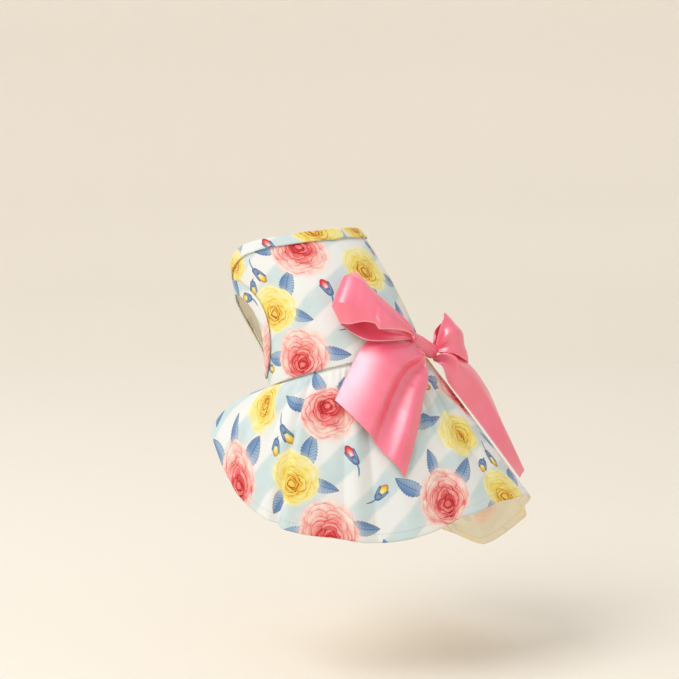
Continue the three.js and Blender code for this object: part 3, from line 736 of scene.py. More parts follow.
def draw_roses(tree, ground):
    """Watercolour roses with inked petals, laid over the ground's colour."""
    place, _, _, yellow, seed = motif(tree, "rose")
    wobble = add(tree, NOISE, {"Vector": place, "Scale": 1.7, "Detail": 1.0})
    wobble = add(tree, VECTOR_MINUS, (wobble.outputs["Color"], (0.5, 0.5, 0.5)))
    flat = add(tree, VECTOR_TIMES, (wobble, (0.26, 0.26, 0.0)))
    level = add(tree, VECTOR_TIMES, (place, (1.0, 1.0, 0.0)))
    ragged = add(tree, NOISE, {"Vector": place, "Scale": 6.0, "Detail": 1.0})
    ragged = add(tree, VECTOR_MINUS, (ragged.outputs["Color"], (0.5, 0.5, 0.5)))
    ragged = add(tree, VECTOR_TIMES, (ragged, (0.09, 0.09, 0.0)))
    at = add(tree, VECTOR_PLUS, (add(tree, VECTOR_PLUS, (level, flat)), ragged))
    reach = add(tree, VECTOR_LENGTH, (at,))
    tone, ink, outline = 0.0, 0.0, None
    for radius, petals, scallop, turn, seed_turn, right, up, depth in zip(*PETAL_RINGS.values()):
        ring = add(
            tree, "ShaderNodeGroup",
            {
                "Place": at, "Centre": (right, up, 0.0), "Seed": seed, "Tone": tone, "Ink": ink,
                "Radius": radius, "Half petals": petals / 2, "Scallop": scallop, "Turn": turn,
                "Seed turn": seed_turn, "Depth": depth,
            },
            node_tree=petal_ring(),
        )
        tone, ink = ring.outputs["Tone"], ring.outputs["Ink"]
        # The outermost ring bounds the rose
        outline = outline or ring.outputs["Inside"]
    tone = add(tree, PLUS, (tone, ink))
    wash = add(tree, NOISE, {"Vector": place, "Scale": 4.0, "Detail": 3.0})
    tone = add(tree, PLUS, (add(tree, RANGE, (wash, 0.3, 0.7, -0.1, 0.12)), tone))
    pink = add(tree, RAMP, (tone,), stops=PINK_ROSE)
    gold = add(tree, RAMP, (tone,), stops=YELLOW_ROSE)
    petals = add(tree, COLOUR_MIX, {"Factor": yellow, "A": pink, "B": gold})
    bleed = add(tree, SOFT_RANGE, (reach, 0.75, 1.22, 0.65, 0.0))
    wash = add(tree, COLOUR_MIX, {"Factor": yellow, "A": paint("#fbe0d8"), "B": paint("#f8f6c4")})
    washed = add(tree, COLOUR_MIX, {"Factor": bleed, "A": ground, "B": wash})
    return add(tree, COLOUR_MIX, {"Factor": outline, "A": washed, "B": petals})


def draw_leaves(tree, ground, sprig):
    """Blue leaves with toothed edges, dark veins and a blue or red outline."""
    _, x, y, bud, seed = sprig
    is_leaf = add(tree, MINUS, (1.0, bud))
    hand = add(tree, RANGE, (seed, 0.49, 0.51, -0.12, 0.12))
    along2 = add(tree, TIMES, (x, x))
    room = add(tree, MINUS, (1.0, along2), use_clamp=True)
    bent = add(tree, TIMES_PLUS, (hand, room, y))
    off = add(tree, SIZE, (bent,))
    slant = add(tree, TIMES_PLUS, (off, -0.8, x))
    tooth = add(tree, TIMES, (slant, LEAF_TEETH))
    tooth = add(tree, FRACTION, (add(tree, PLUS, (tooth, 20.0)),))
    centred = add(tree, SIZE, (add(tree, PLUS, (tooth, -0.5)),))
    jag = add(tree, TIMES_PLUS, (centred, 0.32, 0.92))
    belly = add(tree, POWER, (room, 0.75))
    taper = add(tree, TIMES_PLUS, (x, -0.14, 0.45))
    half = add(tree, TIMES, (add(tree, TIMES, (belly, taper)), jag))
    beyond = add(tree, MINUS, (off, half))
    inside = add(tree, SOFT_RANGE, (beyond, -0.01, 0.01, 1.0, 0.0))
    inside = add(tree, TIMES, (inside, is_leaf))
    rib = add(tree, SOFT_RANGE, (off, 0.0, 0.045, 1.0, 0.0))
    vein = add(tree, SOFT_RANGE, (centred, 0.0, 0.16, 0.75, 0.0))
    vein = add(tree, MOST, (rib, vein))
    vein = add(tree, TIMES, (vein, 0.75))
    side = add(tree, TIMES_PLUS, (x, 0.12, bent))
    face = add(tree, RAMP, (add(tree, RANGE, (side, -0.25, 0.3, 0.0, 1.0)),), stops=LEAF_BLUES)
    face = add(tree, COLOUR_MIX, {"Factor": vein, "A": face, "B": paint("#355488")})
    cut = add(tree, RANGE, (add(tree, SIZE, (beyond,)), 0.0, 0.06, 0.8, 0.0))
    red = add(tree, ABOVE, (seed, 0.5))
    cut_colour = add(tree, COLOUR_MIX, {"Factor": red, "A": paint("#355488"), "B": paint("#b8605c")})
    face = add(tree, COLOUR_MIX, {"Factor": cut, "A": face, "B": cut_colour})
    return add(tree, COLOUR_MIX, {"Factor": inside, "A": ground, "B": face})


def draw_buds(tree, ground, sprig):
    """Small buds, each an egg in a blue cup between two sepals that clasp it, on a stem that bends."""
    _, x, y, bud, seed = sprig
    red = add(tree, ABOVE, (seed, 0.5))
    flare = add(tree, SIZE, (y,))
    bend = add(tree, PLUS, (x, 0.2))
    bend = add(tree, TIMES_PLUS, (add(tree, TIMES, (bend, bend)), -0.5, y))
    # Each part is an egg: the height that it is drawn by, its middle, half its length and width, and
    # its turn in degrees
    parts = (
        (flare, (0.3, 0.0), (0.62, 0.33), -3),
        (flare, (-0.12, 0.0), (0.3, 0.25), 0),
        (flare, (0.16, 0.22), (0.46, 0.1), 14),
        (bend, (-0.66, 0.0), (0.42, 0.06), 0),
    )
    eggs = []
    for height, middle, across, turn in parts:
        here = add(tree, JOIN, (x, height, 0.0))
        moved = add(tree, VECTOR_MINUS, (here, (*middle, 0.0)))
        around = math.radians(turn)
        long = (math.cos(around) / across[0], math.sin(around) / across[0], 0.0)
        wide = (-math.sin(around) / across[1], math.cos(around) / across[1], 0.0)
        reach = [add(tree, VECTOR_DOT, (moved, axis)) for axis in (long, wide)]
        eggs.append(add(tree, VECTOR_LENGTH, (add(tree, JOIN, (*reach, 0.0)),)))
    heart = add(tree, TIMES, (add(tree, RANGE, (eggs[0], 0.97, 1.03, 1.0, 0.0)), bud))
    pink = add(tree, RAMP, (eggs[0],), stops=PINK_ROSE)
    gold = add(tree, RAMP, (eggs[0],), stops=YELLOW_ROSE)
    core = add(tree, COLOUR_MIX, {"Factor": red, "A": gold, "B": pink})
    colour = add(tree, COLOUR_MIX, {"Factor": heart, "A": ground, "B": core})
    cup = eggs[1]
    for egg in eggs[2:]:
        cup = add(tree, LEAST, (cup, egg))
    blue = add(tree, RAMP, (cup,), stops=CUP_BLUES)
    cup = add(tree, TIMES, (add(tree, RANGE, (cup, 0.92, 1.08, 1.0, 0.0)), bud))
    return add(tree, COLOUR_MIX, {"Factor": cup, "A": colour, "B": blue})


def draw_stripes(tree, cloth):
    """Broad slanting stripes, brushed with soft edges and uneven washes."""
    rise = math.radians(STRIPE_RISE)
    wander = add(tree, NOISE, {"Vector": cloth, "Scale": 28.0, "Detail": 3.0})
    across = add(tree, VECTOR_DOT, (cloth, (-math.sin(rise), math.cos(rise), 0.0)))
    across = add(tree, TIMES, (across, TAU / STRIPE_REPEAT))
    across = add(tree, TIMES_PLUS, (wander, 1.3, across))
    wave = add(tree, SINE, (across,))
    wash = add(tree, NOISE, {"Vector": cloth, "Scale": 60.0, "Detail": 4.0})
    depth = add(tree, RANGE, (wash, 0.3, 0.7, 0.6, 1.0))
    band = add(tree, SOFT_RANGE, (wave, -0.3, 0.3, 0.0, 1.0))
    band = add(tree, TIMES, (band, depth))
    ground, stripe = (*colours().ground, 1), (*colours().stripe, 1)
    return add(tree, COLOUR_MIX, {"Factor": band, "A": ground, "B": stripe})


# How far apart the cotton's threads and the satin's weft are drawn
THREAD = 0.9 * MM
WEFT = 0.7 * MM
# How far a row of stitches lies from its hem, and how far apart its stitches are
STITCH_ROW = 7 * MM
STITCH_STEP = 3 * MM


def woven_bump(tree, cloth):
    """The weave's height. Its threads are 0.25 mm apart, and are drawn 0.9 mm apart so that they show."""
    scaled = add(tree, VECTOR_TIMES, (cloth, (TAU / THREAD, TAU / THREAD, 0.0)))
    split = add(tree, SPLIT, (scaled,))
    warp = add(tree, SINE, (split.outputs["X"],))
    weft = add(tree, SINE, (split.outputs["Y"],))
    weave = add(tree, TIMES, (warp, weft))
    slubs = add(tree, NOISE, {"Vector": cloth, "Scale": 220.0, "Detail": 2.0})
    return add(tree, TIMES_PLUS, (slubs, 2.0, weave))


def printed_cotton():
    """Poplin printed on one face: matt and slightly fuzzy, with soft pale colour showing through
    on its reverse and a faint weave."""
    material, tree = new_material("Woven cotton poplin, printed")
    cloth = add(tree, GIVEN, attribute_name="cloth").outputs["Vector"]
    edge = add(tree, GIVEN, attribute_name="edge").outputs["Fac"]
    sprig = motif(tree, "sprig")
    colour = draw_stripes(tree, cloth)
    colour = draw_leaves(tree, colour, sprig)
    colour = draw_buds(tree, colour, sprig)
    colour = draw_roses(tree, colour)
    spread = add(tree, SPLIT, (cloth,)).outputs
    fade = add(tree, RANGE, (spread["Z"], 0.4, 0.6, 0.0, 0.84))
    colour = add(tree, COLOUR_MIX, {"Factor": fade, "A": colour, "B": paint("#fff4da")})
    # One row of stitches holds each hem: a dash of 2 mm and a gap of 1 mm, sunk into the cloth
    row = add(tree, SIZE, (add(tree, MINUS, (edge, STITCH_ROW)),))
    row = add(tree, SOFT_RANGE, (row, 0.2 * MM, 0.75 * MM, 1.0, 0.0))
    dash = add(tree, TIMES, (spread["X"], TAU / STITCH_STEP))
    dash = add(tree, RANGE, (add(tree, SINE, (dash,)), -0.6, -0.2, 0.35, 1.0))
    stitch = add(tree, TIMES, (row, dash))
    # The row is drawn greyer: partly the thread's colour, partly painted shade where the stitches sink in
    thread_and_shade = add(tree, TIMES, (stitch, 0.3))
    colour = add(tree, COLOUR_MIX, {"Factor": thread_and_shade, "A": colour, "B": paint("#c9beb0")})
    height = add(tree, TIMES_PLUS, (stitch, -5.0, woven_bump(tree, cloth)))
    bump = add(tree, "ShaderNodeBump", {"Height": height, "Strength": 0.15, "Distance": 0.1 * MM})
    shader = add(
        tree, "ShaderNodeBsdfPrincipled",
        {
            "Base Color": colour, "Roughness": 0.82, "IOR": 1.45, "Sheen Weight": 0.2,
            "Sheen Roughness": 0.5, "Specular IOR Level": 0.3, "Normal": bump,
        },
    )
    # Thin cotton lets some of the light through to its other side
    through = add(tree, "ShaderNodeBsdfTranslucent", {"Color": colour, "Normal": bump})
    shader = add(tree, "ShaderNodeMixShader", (0.2, shader, through))
    add(tree, OUTPUT, {"Surface": shader})
    return material


def lay_print(mesh, print_at):
    """Gives each face of a printed piece the rose and the sprig that cover it. print_at moves the
    print on this piece across and up, in millimetres."""
    corners = np.empty(len(mesh.loops), np.int64)
    mesh.loops.foreach_get("vertex_index", corners)
    flat = np.empty(len(mesh.vertices) * 3, np.float32)
    mesh.attributes["cloth"].data.foreach_get("vector", flat)
    place = flat.reshape(-1, 3)[corners, :2].astype(float) / MM + print_at
    starts = np.empty(len(mesh.polygons), np.int64)
    totals = np.empty(len(mesh.polygons), np.int64)
    mesh.polygons.foreach_get("loop_start", starts)
    mesh.polygons.foreach_get("loop_total", totals)
    middle = np.add.reduceat(place, starts, axis=0) / totals[:, None]
    # Each layer's motifs, and how many radii from its middle a motif still covers a face
    for layer, motifs, reach in (("rose", ROSES, 1.3), ("sprig", SPRIGS, 1.25)):
        best = np.full(len(middle), reach)
        local = np.zeros((len(place), 3))
        local[:, :2] = BEYOND_MOTIFS
        for x, y, radius, turn, kind, seed in zip(*motifs.values()):
            around = math.radians(turn)
            for beside in (-1, 0, 1):
                column = np.floor(middle[:, 0] / REPEAT_WIDTH) + beside
                centre_x = column * REPEAT_WIDTH + x
                drop = (column % 2) * REPEAT_HEIGHT / 2
                centre_y = y + drop + np.round((middle[:, 1] - y - drop) / REPEAT_HEIGHT) * REPEAT_HEIGHT
                away = np.hypot(middle[:, 0] - centre_x, middle[:, 1] - centre_y) / radius
                nearer = away < best
                best[nearer] = away[nearer]
                chosen = np.repeat(nearer, totals)
                dx = (place[:, 0] - np.repeat(centre_x, totals))[chosen] / radius
                dy = (place[:, 1] - np.repeat(centre_y, totals))[chosen] / radius
                local[chosen, 0] = dx * math.cos(around) + dy * math.sin(around)
                local[chosen, 1] = dy * math.cos(around) - dx * math.sin(around)
                local[chosen, 2] = kind + seed
        give(mesh, layer, local, "CORNER")


def pink_satin():
    """Satin ribbon: a smooth, lustrous face whose broad highlights go pale, deep pink where it
    turns from the light, a fine weft across it and a painted highlight that draws its edges pale."""
    material, tree = new_material("Polyester satin ribbon, woven")
    cloth = add(tree, GIVEN, attribute_name="cloth").outputs["Vector"]
    edge = add(tree, GIVEN, attribute_name="edge").outputs["Fac"]
    uneven = add(tree, NOISE, {"Vector": cloth, "Scale": 45.0, "Detail": 2.0})
    face = add(tree, RAMP, (uneven,), stops=SATIN_PINKS)
    # Painted highlight: within 1.1 mm of each cut edge the ribbon is drawn pale pink, as if lit
    painted_edge_highlight = add(tree, SOFT_RANGE, (edge, 0.0, 1.1 * MM, 0.55, 0.0))
    colour = add(tree, COLOUR_MIX, {"Factor": painted_edge_highlight, "A": face, "B": paint("#ffd9de")})
    # The weft's threads are 0.1 mm apart, and are drawn 0.7 mm apart so that they show
    weft = add(tree, VECTOR_TIMES, (cloth, (TAU / WEFT, 0.0, 0.0)))
    weft = add(tree, SINE, (add(tree, SPLIT, (weft,)).outputs["X"],))
    drape = add(tree, NOISE, {"Vector": cloth, "Scale": 70.0, "Detail": 1.0})
    height = add(tree, TIMES_PLUS, (drape, 30.0, weft))
    bump = add(tree, "ShaderNodeBump", {"Height": height, "Strength": 0.3, "Distance": 0.02 * MM})
    gloss = add(tree, RANGE, (uneven, 0.3, 0.7, 0.36, 0.44))
    threads = add(
        tree, "ShaderNodeBsdfPrincipled",
        {
            "Base Color": colour, "Roughness": gloss, "IOR": 1.55, "Specular IOR Level": 0.6,
            "Sheen Weight": 0.35, "Sheen Roughness": 0.35, "Normal": bump,
        },
    )
    # The long floats of the weave mirror more of the light than a plain weave does
    floats = add(
        tree, "ShaderNodeBsdfAnisotropic",
        {"Color": paint("#ffeaf0"), "Roughness": gloss, "Normal": bump},
    )
    shader = add(tree, "ShaderNodeMixShader", (0.19, threads, floats))
    add(tree, OUTPUT, {"Surface": shader})
    return material


def shared_material(maker):
    """Makes a material once, and gives the same one to each piece that asks for it."""
    kept = bpy.context.scene.get("dress_" + maker.__name__)
    if kept and kept in bpy.data.materials:
        return bpy.data.materials[kept]
    made = maker()
    bpy.context.scene["dress_" + maker.__name__] = made.name
    return made


def printed_piece(name, node, mesh, print_at):
    lay_print(mesh, print_at)
    return piece(name, node, mesh, shared_material(printed_cotton))


def developed(points):
    """A grid of cloth laid flat: its columns become strips that keep their widths and lengths."""
    low, high = points[0], points[-1]
    steps = np.linalg.norm(np.diff(points, axis=0), axis=-1)
    run = np.concatenate([np.zeros((1, points.shape[1])), np.cumsum(steps, axis=0)])
    length = run[-1]
    low_width = np.linalg.norm(np.diff(low, axis=0), axis=-1)
    high_width = np.linalg.norm(np.diff(high, axis=0), axis=-1)
    turning = (high_width - low_width) / ((length[1:] + length[:-1]) / 2)
    angle = np.concatenate([[0], np.cumsum(turning)])
    angle = angle - angle[len(angle) // 2]
    between = (angle[1:] + angle[:-1]) / 2
    step = np.stack([np.cos(between), -np.sin(between)], axis=-1) * low_width[:, None]
    base = np.concatenate([np.zeros((1, 2)), np.cumsum(step, axis=0)])
    base = base - base[len(base) // 2]
    away = np.stack([np.sin(angle), np.cos(angle)], axis=-1)
    return base[None] + away[None] * run[..., None]


def bodice_dents(turn, up):
    """Soft dents and pulls in the bodice's cloth."""
    turn, up = np.broadcast_arrays(turn, up)
    total = np.zeros(turn.shape)
    for at, height, across, tall, slant, depth in zip(*DENTS.values()):
        beside = (turn - at + 180) % 360 - 180
        line = height + beside / slant if slant else height
        total = total - depth * MM * hump(beside, 0, across) * hump(up, line, tall)
    return total * smooth(up, 0.04, 0.14)


def skirt_creases(turn, down):
    """The skirt's sharp creases, and the small puckers where it is gathered into the waist seam."""
    total = np.zeros(np.broadcast(turn, down).shape)
    for at, width, depth, start, end in zip(*CREASES.values()):
        shown = swell(down, start, start + 0.12, end - 0.35, end)
        off = np.abs(turn - at) / width
        ridge = CREASE_RIDGE * hump(off, 2.2, 1.1)
        total = total + depth * MM * shown * (ridge - np.exp(-(off**1.4)))
    wave = np.sin(turn * PUCKER_RATE + 1.7 * np.sin(turn * PUCKER_RATE / 4.3))
    return total + PUCKER_DEPTH * wave * swell(down, 0, 0.03, 0.03, 0.2)


def cloth_per_degree():
    """How much cloth lies in one degree round the bodice, on average."""
    return math.pi * (sizes().waist_width + sizes().waist_depth) / 2 / 360


def armhole_place(turn, up):
    """Where points lie from the armholes' middles, across and up: 1 away on the rim."""
    beside = (np.abs(turn) - math.degrees(sizes().side_seam_turn)) * cloth_per_degree()
    across = beside / (sizes().armhole_width / 2)
    tall = (up * sizes().bodice_length - sizes().armhole_rise) / (sizes().armhole_height / 2)
    return across, tall


def armhole_rim(side, angle, grow, out):
    """Points of an armhole's rim, grown outwards. side is 1 for the left one."""
    across = np.cos(angle) * (sizes().armhole_width / 2 + grow) / cloth_per_degree()
    tall = np.sin(angle) * (sizes().armhole_height / 2 + grow)
    turn = math.degrees(sizes().side_seam_turn) + across
    up = (sizes().armhole_rise + tall) / sizes().bodice_length
    return on_bodice(side * turn, up, out + bodice_dents(side * turn, up))


def corners_of(cells):
    """Marks the corners of a grid's marked cells."""
    marked = np.zeros(np.add(cells.shape, 1), bool)
    for rows in (slice(None, -1), slice(1, None)):
        for columns in (slice(None, -1), slice(1, None)):
            marked[rows, columns] |= cells
    return marked


def bodice_panel(name, node, from_turn, to_turn, print_at, columns):
    """A printed panel of the bodice between two turns, with its share of the armholes cut out."""
    seam_gap = math.degrees(PIECE_GAP / sizes().waist_width)
    turn = np.linspace(to_turn - seam_gap, from_turn + seam_gap, columns + 1)[None, :]
    up = np.linspace(0, 1, BODICE_ROWS + 1)[:, None] * neckline_at(turn)
    turn = np.broadcast_to(turn, up.shape).copy()
    folded = (turn + 180) % 360 - 180
    across, tall = armhole_place(folded, up)
    reach = np.hypot(across, tall)
    cell_reach = (reach[:-1, :-1] + reach[1:, :-1] + reach[:-1, 1:] + reach[1:, 1:]) / 4
    kept = cell_reach > 1
    # The corners that lie along the armholes' cut edges move onto their rims
    rim = corners_of(kept) & corners_of(~kept)
    pull = 1 / np.maximum(reach, 0.05)
    beside = across * pull * (sizes().armhole_width / 2) / cloth_per_degree()
    rim_turn = np.sign(folded) * (math.degrees(sizes().side_seam_turn) + beside)
    turn = np.where(rim, turn + (rim_turn - folded), turn)
    turn = np.clip(turn, from_turn + seam_gap, to_turn - seam_gap)
    rim_up = (sizes().armhole_rise + tall * pull * sizes().armhole_height / 2) / sizes().bodice_length
    up = np.where(rim, rim_up, up)
    middle = on_bodice(turn, up, SOLID_WALL / 2 + bodice_dents(turn, up))
    mesh = cloth_mesh(name, middle, COTTON_WALL, developed(middle), kept=kept)
    return printed_piece(name, node, mesh, print_at)


def band_piece(name, node, middle, edge, print_at):
    """A folded band that closes on itself, cut along the print."""
    steps = np.linalg.norm(np.roll(middle, -1, axis=1) - middle, axis=-1).mean(axis=0)
    run = np.concatenate([[0], np.cumsum(steps)[:-1]])
    rise = np.linalg.norm(np.diff(middle, axis=0), axis=-1).mean(axis=1)
    height = np.concatenate([[0], np.cumsum(rise)])
    flat = np.stack(np.meshgrid(run, height), axis=-1)
    wall = BAND_WALL * rounded(edge, BAND_WALL)
    mesh = cloth_mesh(name, middle, wall, flat, looped=True, edge=edge)
    return printed_piece(name, node, mesh, print_at)


def arm_band(name, node, side, print_at):
    """The band that binds an armhole's edge. side is 1 for the left one."""
    angle = -side * np.linspace(0, TAU, ARM_BAND_CELLS[0] + 1)[None, :-1]
    width = sizes().arm_band_width
    share = np.linspace(0, 1, ARM_BAND_CELLS[1] + 1)[:, None]
    grow = lerp(width, -BAND_OVERHANG, share)
    out = SOLID_WALL + BAND_LIFT + BAND_SOLID_WALL / 2
    middle = armhole_rim(side, angle, grow, out)
    edge = np.minimum(share, 1 - share) * (width + BAND_OVERHANG)
    return band_piece(name, node, middle, edge, print_at)


def neck_band(name, node, print_at):
    """The band that binds the neckline."""
    turn = -np.linspace(0, 360, NECK_BAND_CELLS[0] + 1)[None, :-1]
    share = np.linspace(0, 1, NECK_BAND_CELLS[1] + 1)[:, None]
    low = -sizes().neck_band_width / sizes().bodice_length
    high = BAND_OVERHANG / sizes().bodice_length
    up = neckline_at(turn) + lerp(low, high, share)
    out = SOLID_WALL + BAND_LIFT + BAND_SOLID_WALL / 2
    middle = on_bodice(turn, up, out + bodice_dents(turn, up))
    edge = np.minimum(share, 1 - share) * (sizes().neck_band_width + BAND_OVERHANG)
    return band_piece(name, node, middle, edge, print_at)


def skirt_piece(name, node, print_at):
    """The skirt tucks up behind the bodice's edge, then falls in pleats to its hem."""
    turn = np.linspace(SKIRT_LEFT_END, SKIRT_RIGHT_END, SKIRT_CELLS[0] + 1)[None, :]
    # down is a share of the skirt's length, in rows that crowd towards the waist, or below 0 of the tuck
    down = np.linspace(1, 0, SKIRT_CELLS[1] + 1) ** 1.1
    down = np.concatenate([down, [-0.35, -0.7, -1]])[:, None]
    tuck_out = -TUCK_ROOM - SOLID_WALL / 2
    inward = tuck_out * (1 - smooth(down, 0, 0.035)) + skirt_creases(turn, np.maximum(down, 0))
    hanging = on_skirt(turn, np.maximum(down, 0), inward)
    tuck_up = lerp(-WAIST_DROP, SKIRT_TUCK, -np.minimum(down, 0)) / sizes().bodice_length
    tucked = on_bodice(turn, tuck_up, tuck_out)
    middle = np.where(np.broadcast_to(down < 0, hanging.shape[:2])[..., None], tucked, hanging)
    run = np.cumsum(np.linalg.norm(np.diff(middle, axis=0), axis=-1), axis=0)
    to_hem = np.concatenate([np.zeros((1, middle.shape[1])), run])
    wall = lerp(COTTON_WALL, HEM_WALL, 1 - smooth(to_hem, HEM_WIDTH - 0.5 * MM, HEM_WIDTH + 0.5 * MM))
    wall = wall * rounded(to_hem, HEM_WALL)
    mesh = cloth_mesh(name, middle, wall, developed(middle), edge=to_hem)
    return printed_piece(name, node, mesh, print_at)


def knot_frame():
    """The knot's middle, and its own right, up and outward directions."""
    turn = math.degrees(sizes().knot_turn)
    up = sizes().knot_rise / sizes().bodice_length
    foot = on_bodice(turn, up, SOLID_WALL)
    outward = unit(on_bodice(turn, up, SOLID_WALL + MM) - foot)
    level = unit(np.cross([0, 0, 1], outward))
    slope = sizes().knot_slope
    right = level * math.cos(slope) - np.cross(outward, level) * math.sin(slope)
    middle = foot + outward * (KNOT_STAND + sizes().knot_depth / 2)
    return middle, right, np.cross(outward, right), outward


def by_knot(right, upward, outward):
    """Points in the knot's frame, in metres."""
    middle, *directions = knot_frame()
    places = np.broadcast_arrays(right, upward, outward)
    return middle + sum(np.asarray(p)[..., None] * d for p, d in zip(places, directions))


def knot_section(side, room, ends):
    """The two edges of a ribbon at one end of the knot. side is -1 at its left end."""
    end = side * (sizes().knot_length / 2 + room)
    height, depth = sizes().knot_height, sizes().knot_depth
    return [by_knot(end, rise * height, out * depth) for rise, out in ends]


def ribbon_sections(rows):
    """The two edges of each section of a ribbon, on the dress."""
    lift = sizes().bow_lift
    return [
        (on_dress(r[0], r[1], r[2] * lift), on_dress(r[3], r[4], r[5] * lift))
        for r in zip(*rows.values())
    ]


def gathers(across, along):
    """Creases where the ribbon is gathered into the knot."""
    shown = swell(along, -0.08, 0.12, 0.12, 0.5)
    return GATHER_DEPTH / 2 * np.cos(across * RIBBON_GATHERS * TAU) * shown


def ribbon_mesh(name, side, sections, arches, cells, fold, trim):
    """A ribbon through its sections, arched and folded. cells is how many it has along and across,
    and trim is the share by which its lower edge draws in along the ribbon."""
    along = np.linspace(0, 1, cells[0] + 1)[:, None]
    across = np.linspace(0, 1, cells[1] + 1)[None, :]
    top = strand([s[0] for s in sections], along[:, 0])[:, None]
    low = strand([s[1] for s in sections], along[:, 0])[:, None]
    low = lerp(low, top, trim(along)[..., None])
    flat = lerp(top, low, across[..., None])
    lengthwise = np.gradient(flat, axis=0)
    outward = unit(np.cross(low - top, lengthwise)) * side
    rows = {"at": np.linspace(0, 1, len(arches)), "arch": np.array(arches, float)}
    arch = 4 * across * (1 - across) * curve(rows, "at", along, "arch") * sizes().bow_lift
    middle = flat + outward * (arch + fold(across, along))[..., None]
    width = np.linalg.norm(low - top, axis=-1)
    edge = np.minimum(across, 1 - across) * width
    wall = SATIN_WALL * rounded(edge, SATIN_WALL)
    return cloth_mesh(name, middle, wall, developed(middle), edge=edge)


def no_trim(along):
    """The trim of a ribbon whose lower edge runs straight."""
    return 0 * along


def loop_piece(name, node, side, rows, room, fold, trim=no_trim):
    """A loop leaves the knot with some room beside it, follows its rows and comes back."""
    start, back = knot_section(side, room, LOOP_START), knot_section(side, room, LOOP_RETURN)
    sections = [start, *ribbon_sections(rows), back]
    arches = [0, *rows["arch"], 0]

    def folded(across, along):
        return fold(across, along) + gathers(across, np.minimum(along, 1 - along) * 2)

    mesh = ribbon_mesh(name, side, sections, arches, LOOP_CELLS, folded, trim)
    return piece(name, node, mesh, shared_material(pink_satin))


def tail_piece(name, node, side, rows, room, fold):
    """A tail leaves the knot with some room beside it, follows its rows and hangs free."""
    sections = [knot_section(side, room, TAIL_START), *ribbon_sections(rows)]
    arches = [0, *rows["arch"]]

    def folded(across, along):
        return fold(across, along) + gathers(across, along)

    mesh = ribbon_mesh(name, side, sections, arches, TAIL_CELLS, folded, no_trim)
    return piece(name, node, mesh, shared_material(pink_satin))


def path(at, *points):
    """A straight-lined path through (place, value) points."""
    places, values = zip(*points)
    return np.interp(at, places, values)


# Where the left loop's crease and the left tail's valley lie: (share along, share across)
LOOP_CREASE = ((0.05, 0.95), (0.22, 0.72), (0.33, 0.4), (0.44, 0.16), (0.55, 0.1))
TAIL_VALLEY = (
    (0.2, 1.0), (0.25, 0.92), (0.375, 0.74), (0.5, 0.66), (0.625, 0.61), (0.75, 0.57), (1.0, 0.56),
)


def left_loop_fold(across, along):
    """The loop's boxy end, the crease below its top strip and the roll of its lower edge."""
    boxy = path(across, (0, 0), (0.17, 0.85), (0.72, 1.05), (1, 0)) - 4 * across * (1 - across)
    end = 10 * MM * boxy * hump(along, 0.55, 0.09)
    crease = path(along, *LOOP_CREASE)
    ridge = np.minimum(across / crease, (1 - across) / (1 - crease))
    strip = 2.6 * MM * ridge * swell(along, 0.08, 0.25, 0.44, 0.56)
    roll = 2 * MM * hump(across, 0.86, 0.1) * swell(along, 0.04, 0.12, 0.26, 0.36)
    return end + strip + roll


def left_loop_trim(along):
    """The notch in the loop's lower edge, beyond its roll."""
    return 0.15 * swell(along, 0.305, 0.34, 0.36, 0.5)


def right_loop_fold(across, along):
    """A ridge along the loop's front, with a softer valley below it."""
    ridge = hump(across, 0.45, 0.12) - 0.6 * hump(across, 0.7, 0.1)
    return 1.6 * MM * ridge * swell(along, 0.05, 0.2, 0.4, 0.55)


def left_tail_fold(across, along):
    """One deep sharp fold from the knot to the tail's lower edge, and a soft ridge beyond it."""
    beyond = across - path(along, *TAIL_VALLEY)
    valley = swell(beyond, -0.1, 0.03, 0.06, 0.34)
    depth = path(along, (0, 0), (0.15, 1), (0.35, 8), (0.6, 11), (0.8, 9.5), (1, 5)) * MM
    return 1.5 * MM * hump(across, 0.88, 0.1) * smooth(along, 0.3, 0.6) - depth * valley


def right_tail_fold(across, along):
    """A full roll where the tail leaves the knot, and a soft ridge down its end."""
    roll = 6 * MM * hump(across, 0.35, 0.22) * hump(along, 0.22, 0.12)
    return roll + smooth(along, 0.3, 0.7) * 2.5 * MM * hump(across, 0.55, 0.2)


def knot_piece(name, node):
    """The knot is a wrapped band with a full middle and flat ends."""
    along = np.linspace(-0.5, 0.5, KNOT_CELLS[0] + 1)[:, None]
    angle = np.linspace(0, TAU, KNOT_CELLS[1] + 1)[None, :-1]
    size = curve(KNOT, "along", along, "size")
    high = np.sin(angle) * size * sizes().knot_height / 2
    deep = np.cos(angle) * size * sizes().knot_depth / 2
    rings = by_knot(along * sizes().knot_length, high, deep)
    count, sides = rings.shape[:2]
    ends = by_knot(np.array([-0.5, 0.5]) * sizes().knot_length, 0, 0)
    points = np.concatenate([rings.reshape(-1, 3), ends])
    ids = np.arange(count * sides).reshape(count, sides)
    following = np.roll(ids, -1, axis=1)
    quads = np.stack([ids[:-1], following[:-1], following[1:], ids[1:]], axis=-1).reshape(-1, 4)
    caps = [(count * sides, b, a) for a, b in zip(ids[0], following[0])]
    caps += [(count * sides + 1, a, b) for a, b in zip(ids[-1], following[-1])]
    faces = quads.tolist() + [tuple(map(int, cap)) for cap in caps]
    mesh = smooth_mesh(name, points.tolist(), faces)
    reach = np.broadcast_to(angle * sizes().knot_height / 2, size.shape[:1] + (sides,))
    lengthwise = np.broadcast_to(along * sizes().knot_length, reach.shape)
    flat = np.stack([reach, lengthwise, 0 * reach], axis=-1).reshape(-1, 3)
    give(mesh, "cloth", np.concatenate([flat, np.zeros((2, 3))]))
    give(mesh, "edge", np.ones(len(points)))
    return piece(name, node, mesh, shared_material(pink_satin))


class DRESS_OT_stage(bpy.types.Operator):
    """Sets up the floor, the backdrop, the soft light and the camera"""

    bl_idname = "dress.stage"
    bl_label = "Set the stage"

    def execute(self, context):
        build_stage(context.scene)
        return {"FINISHED"}


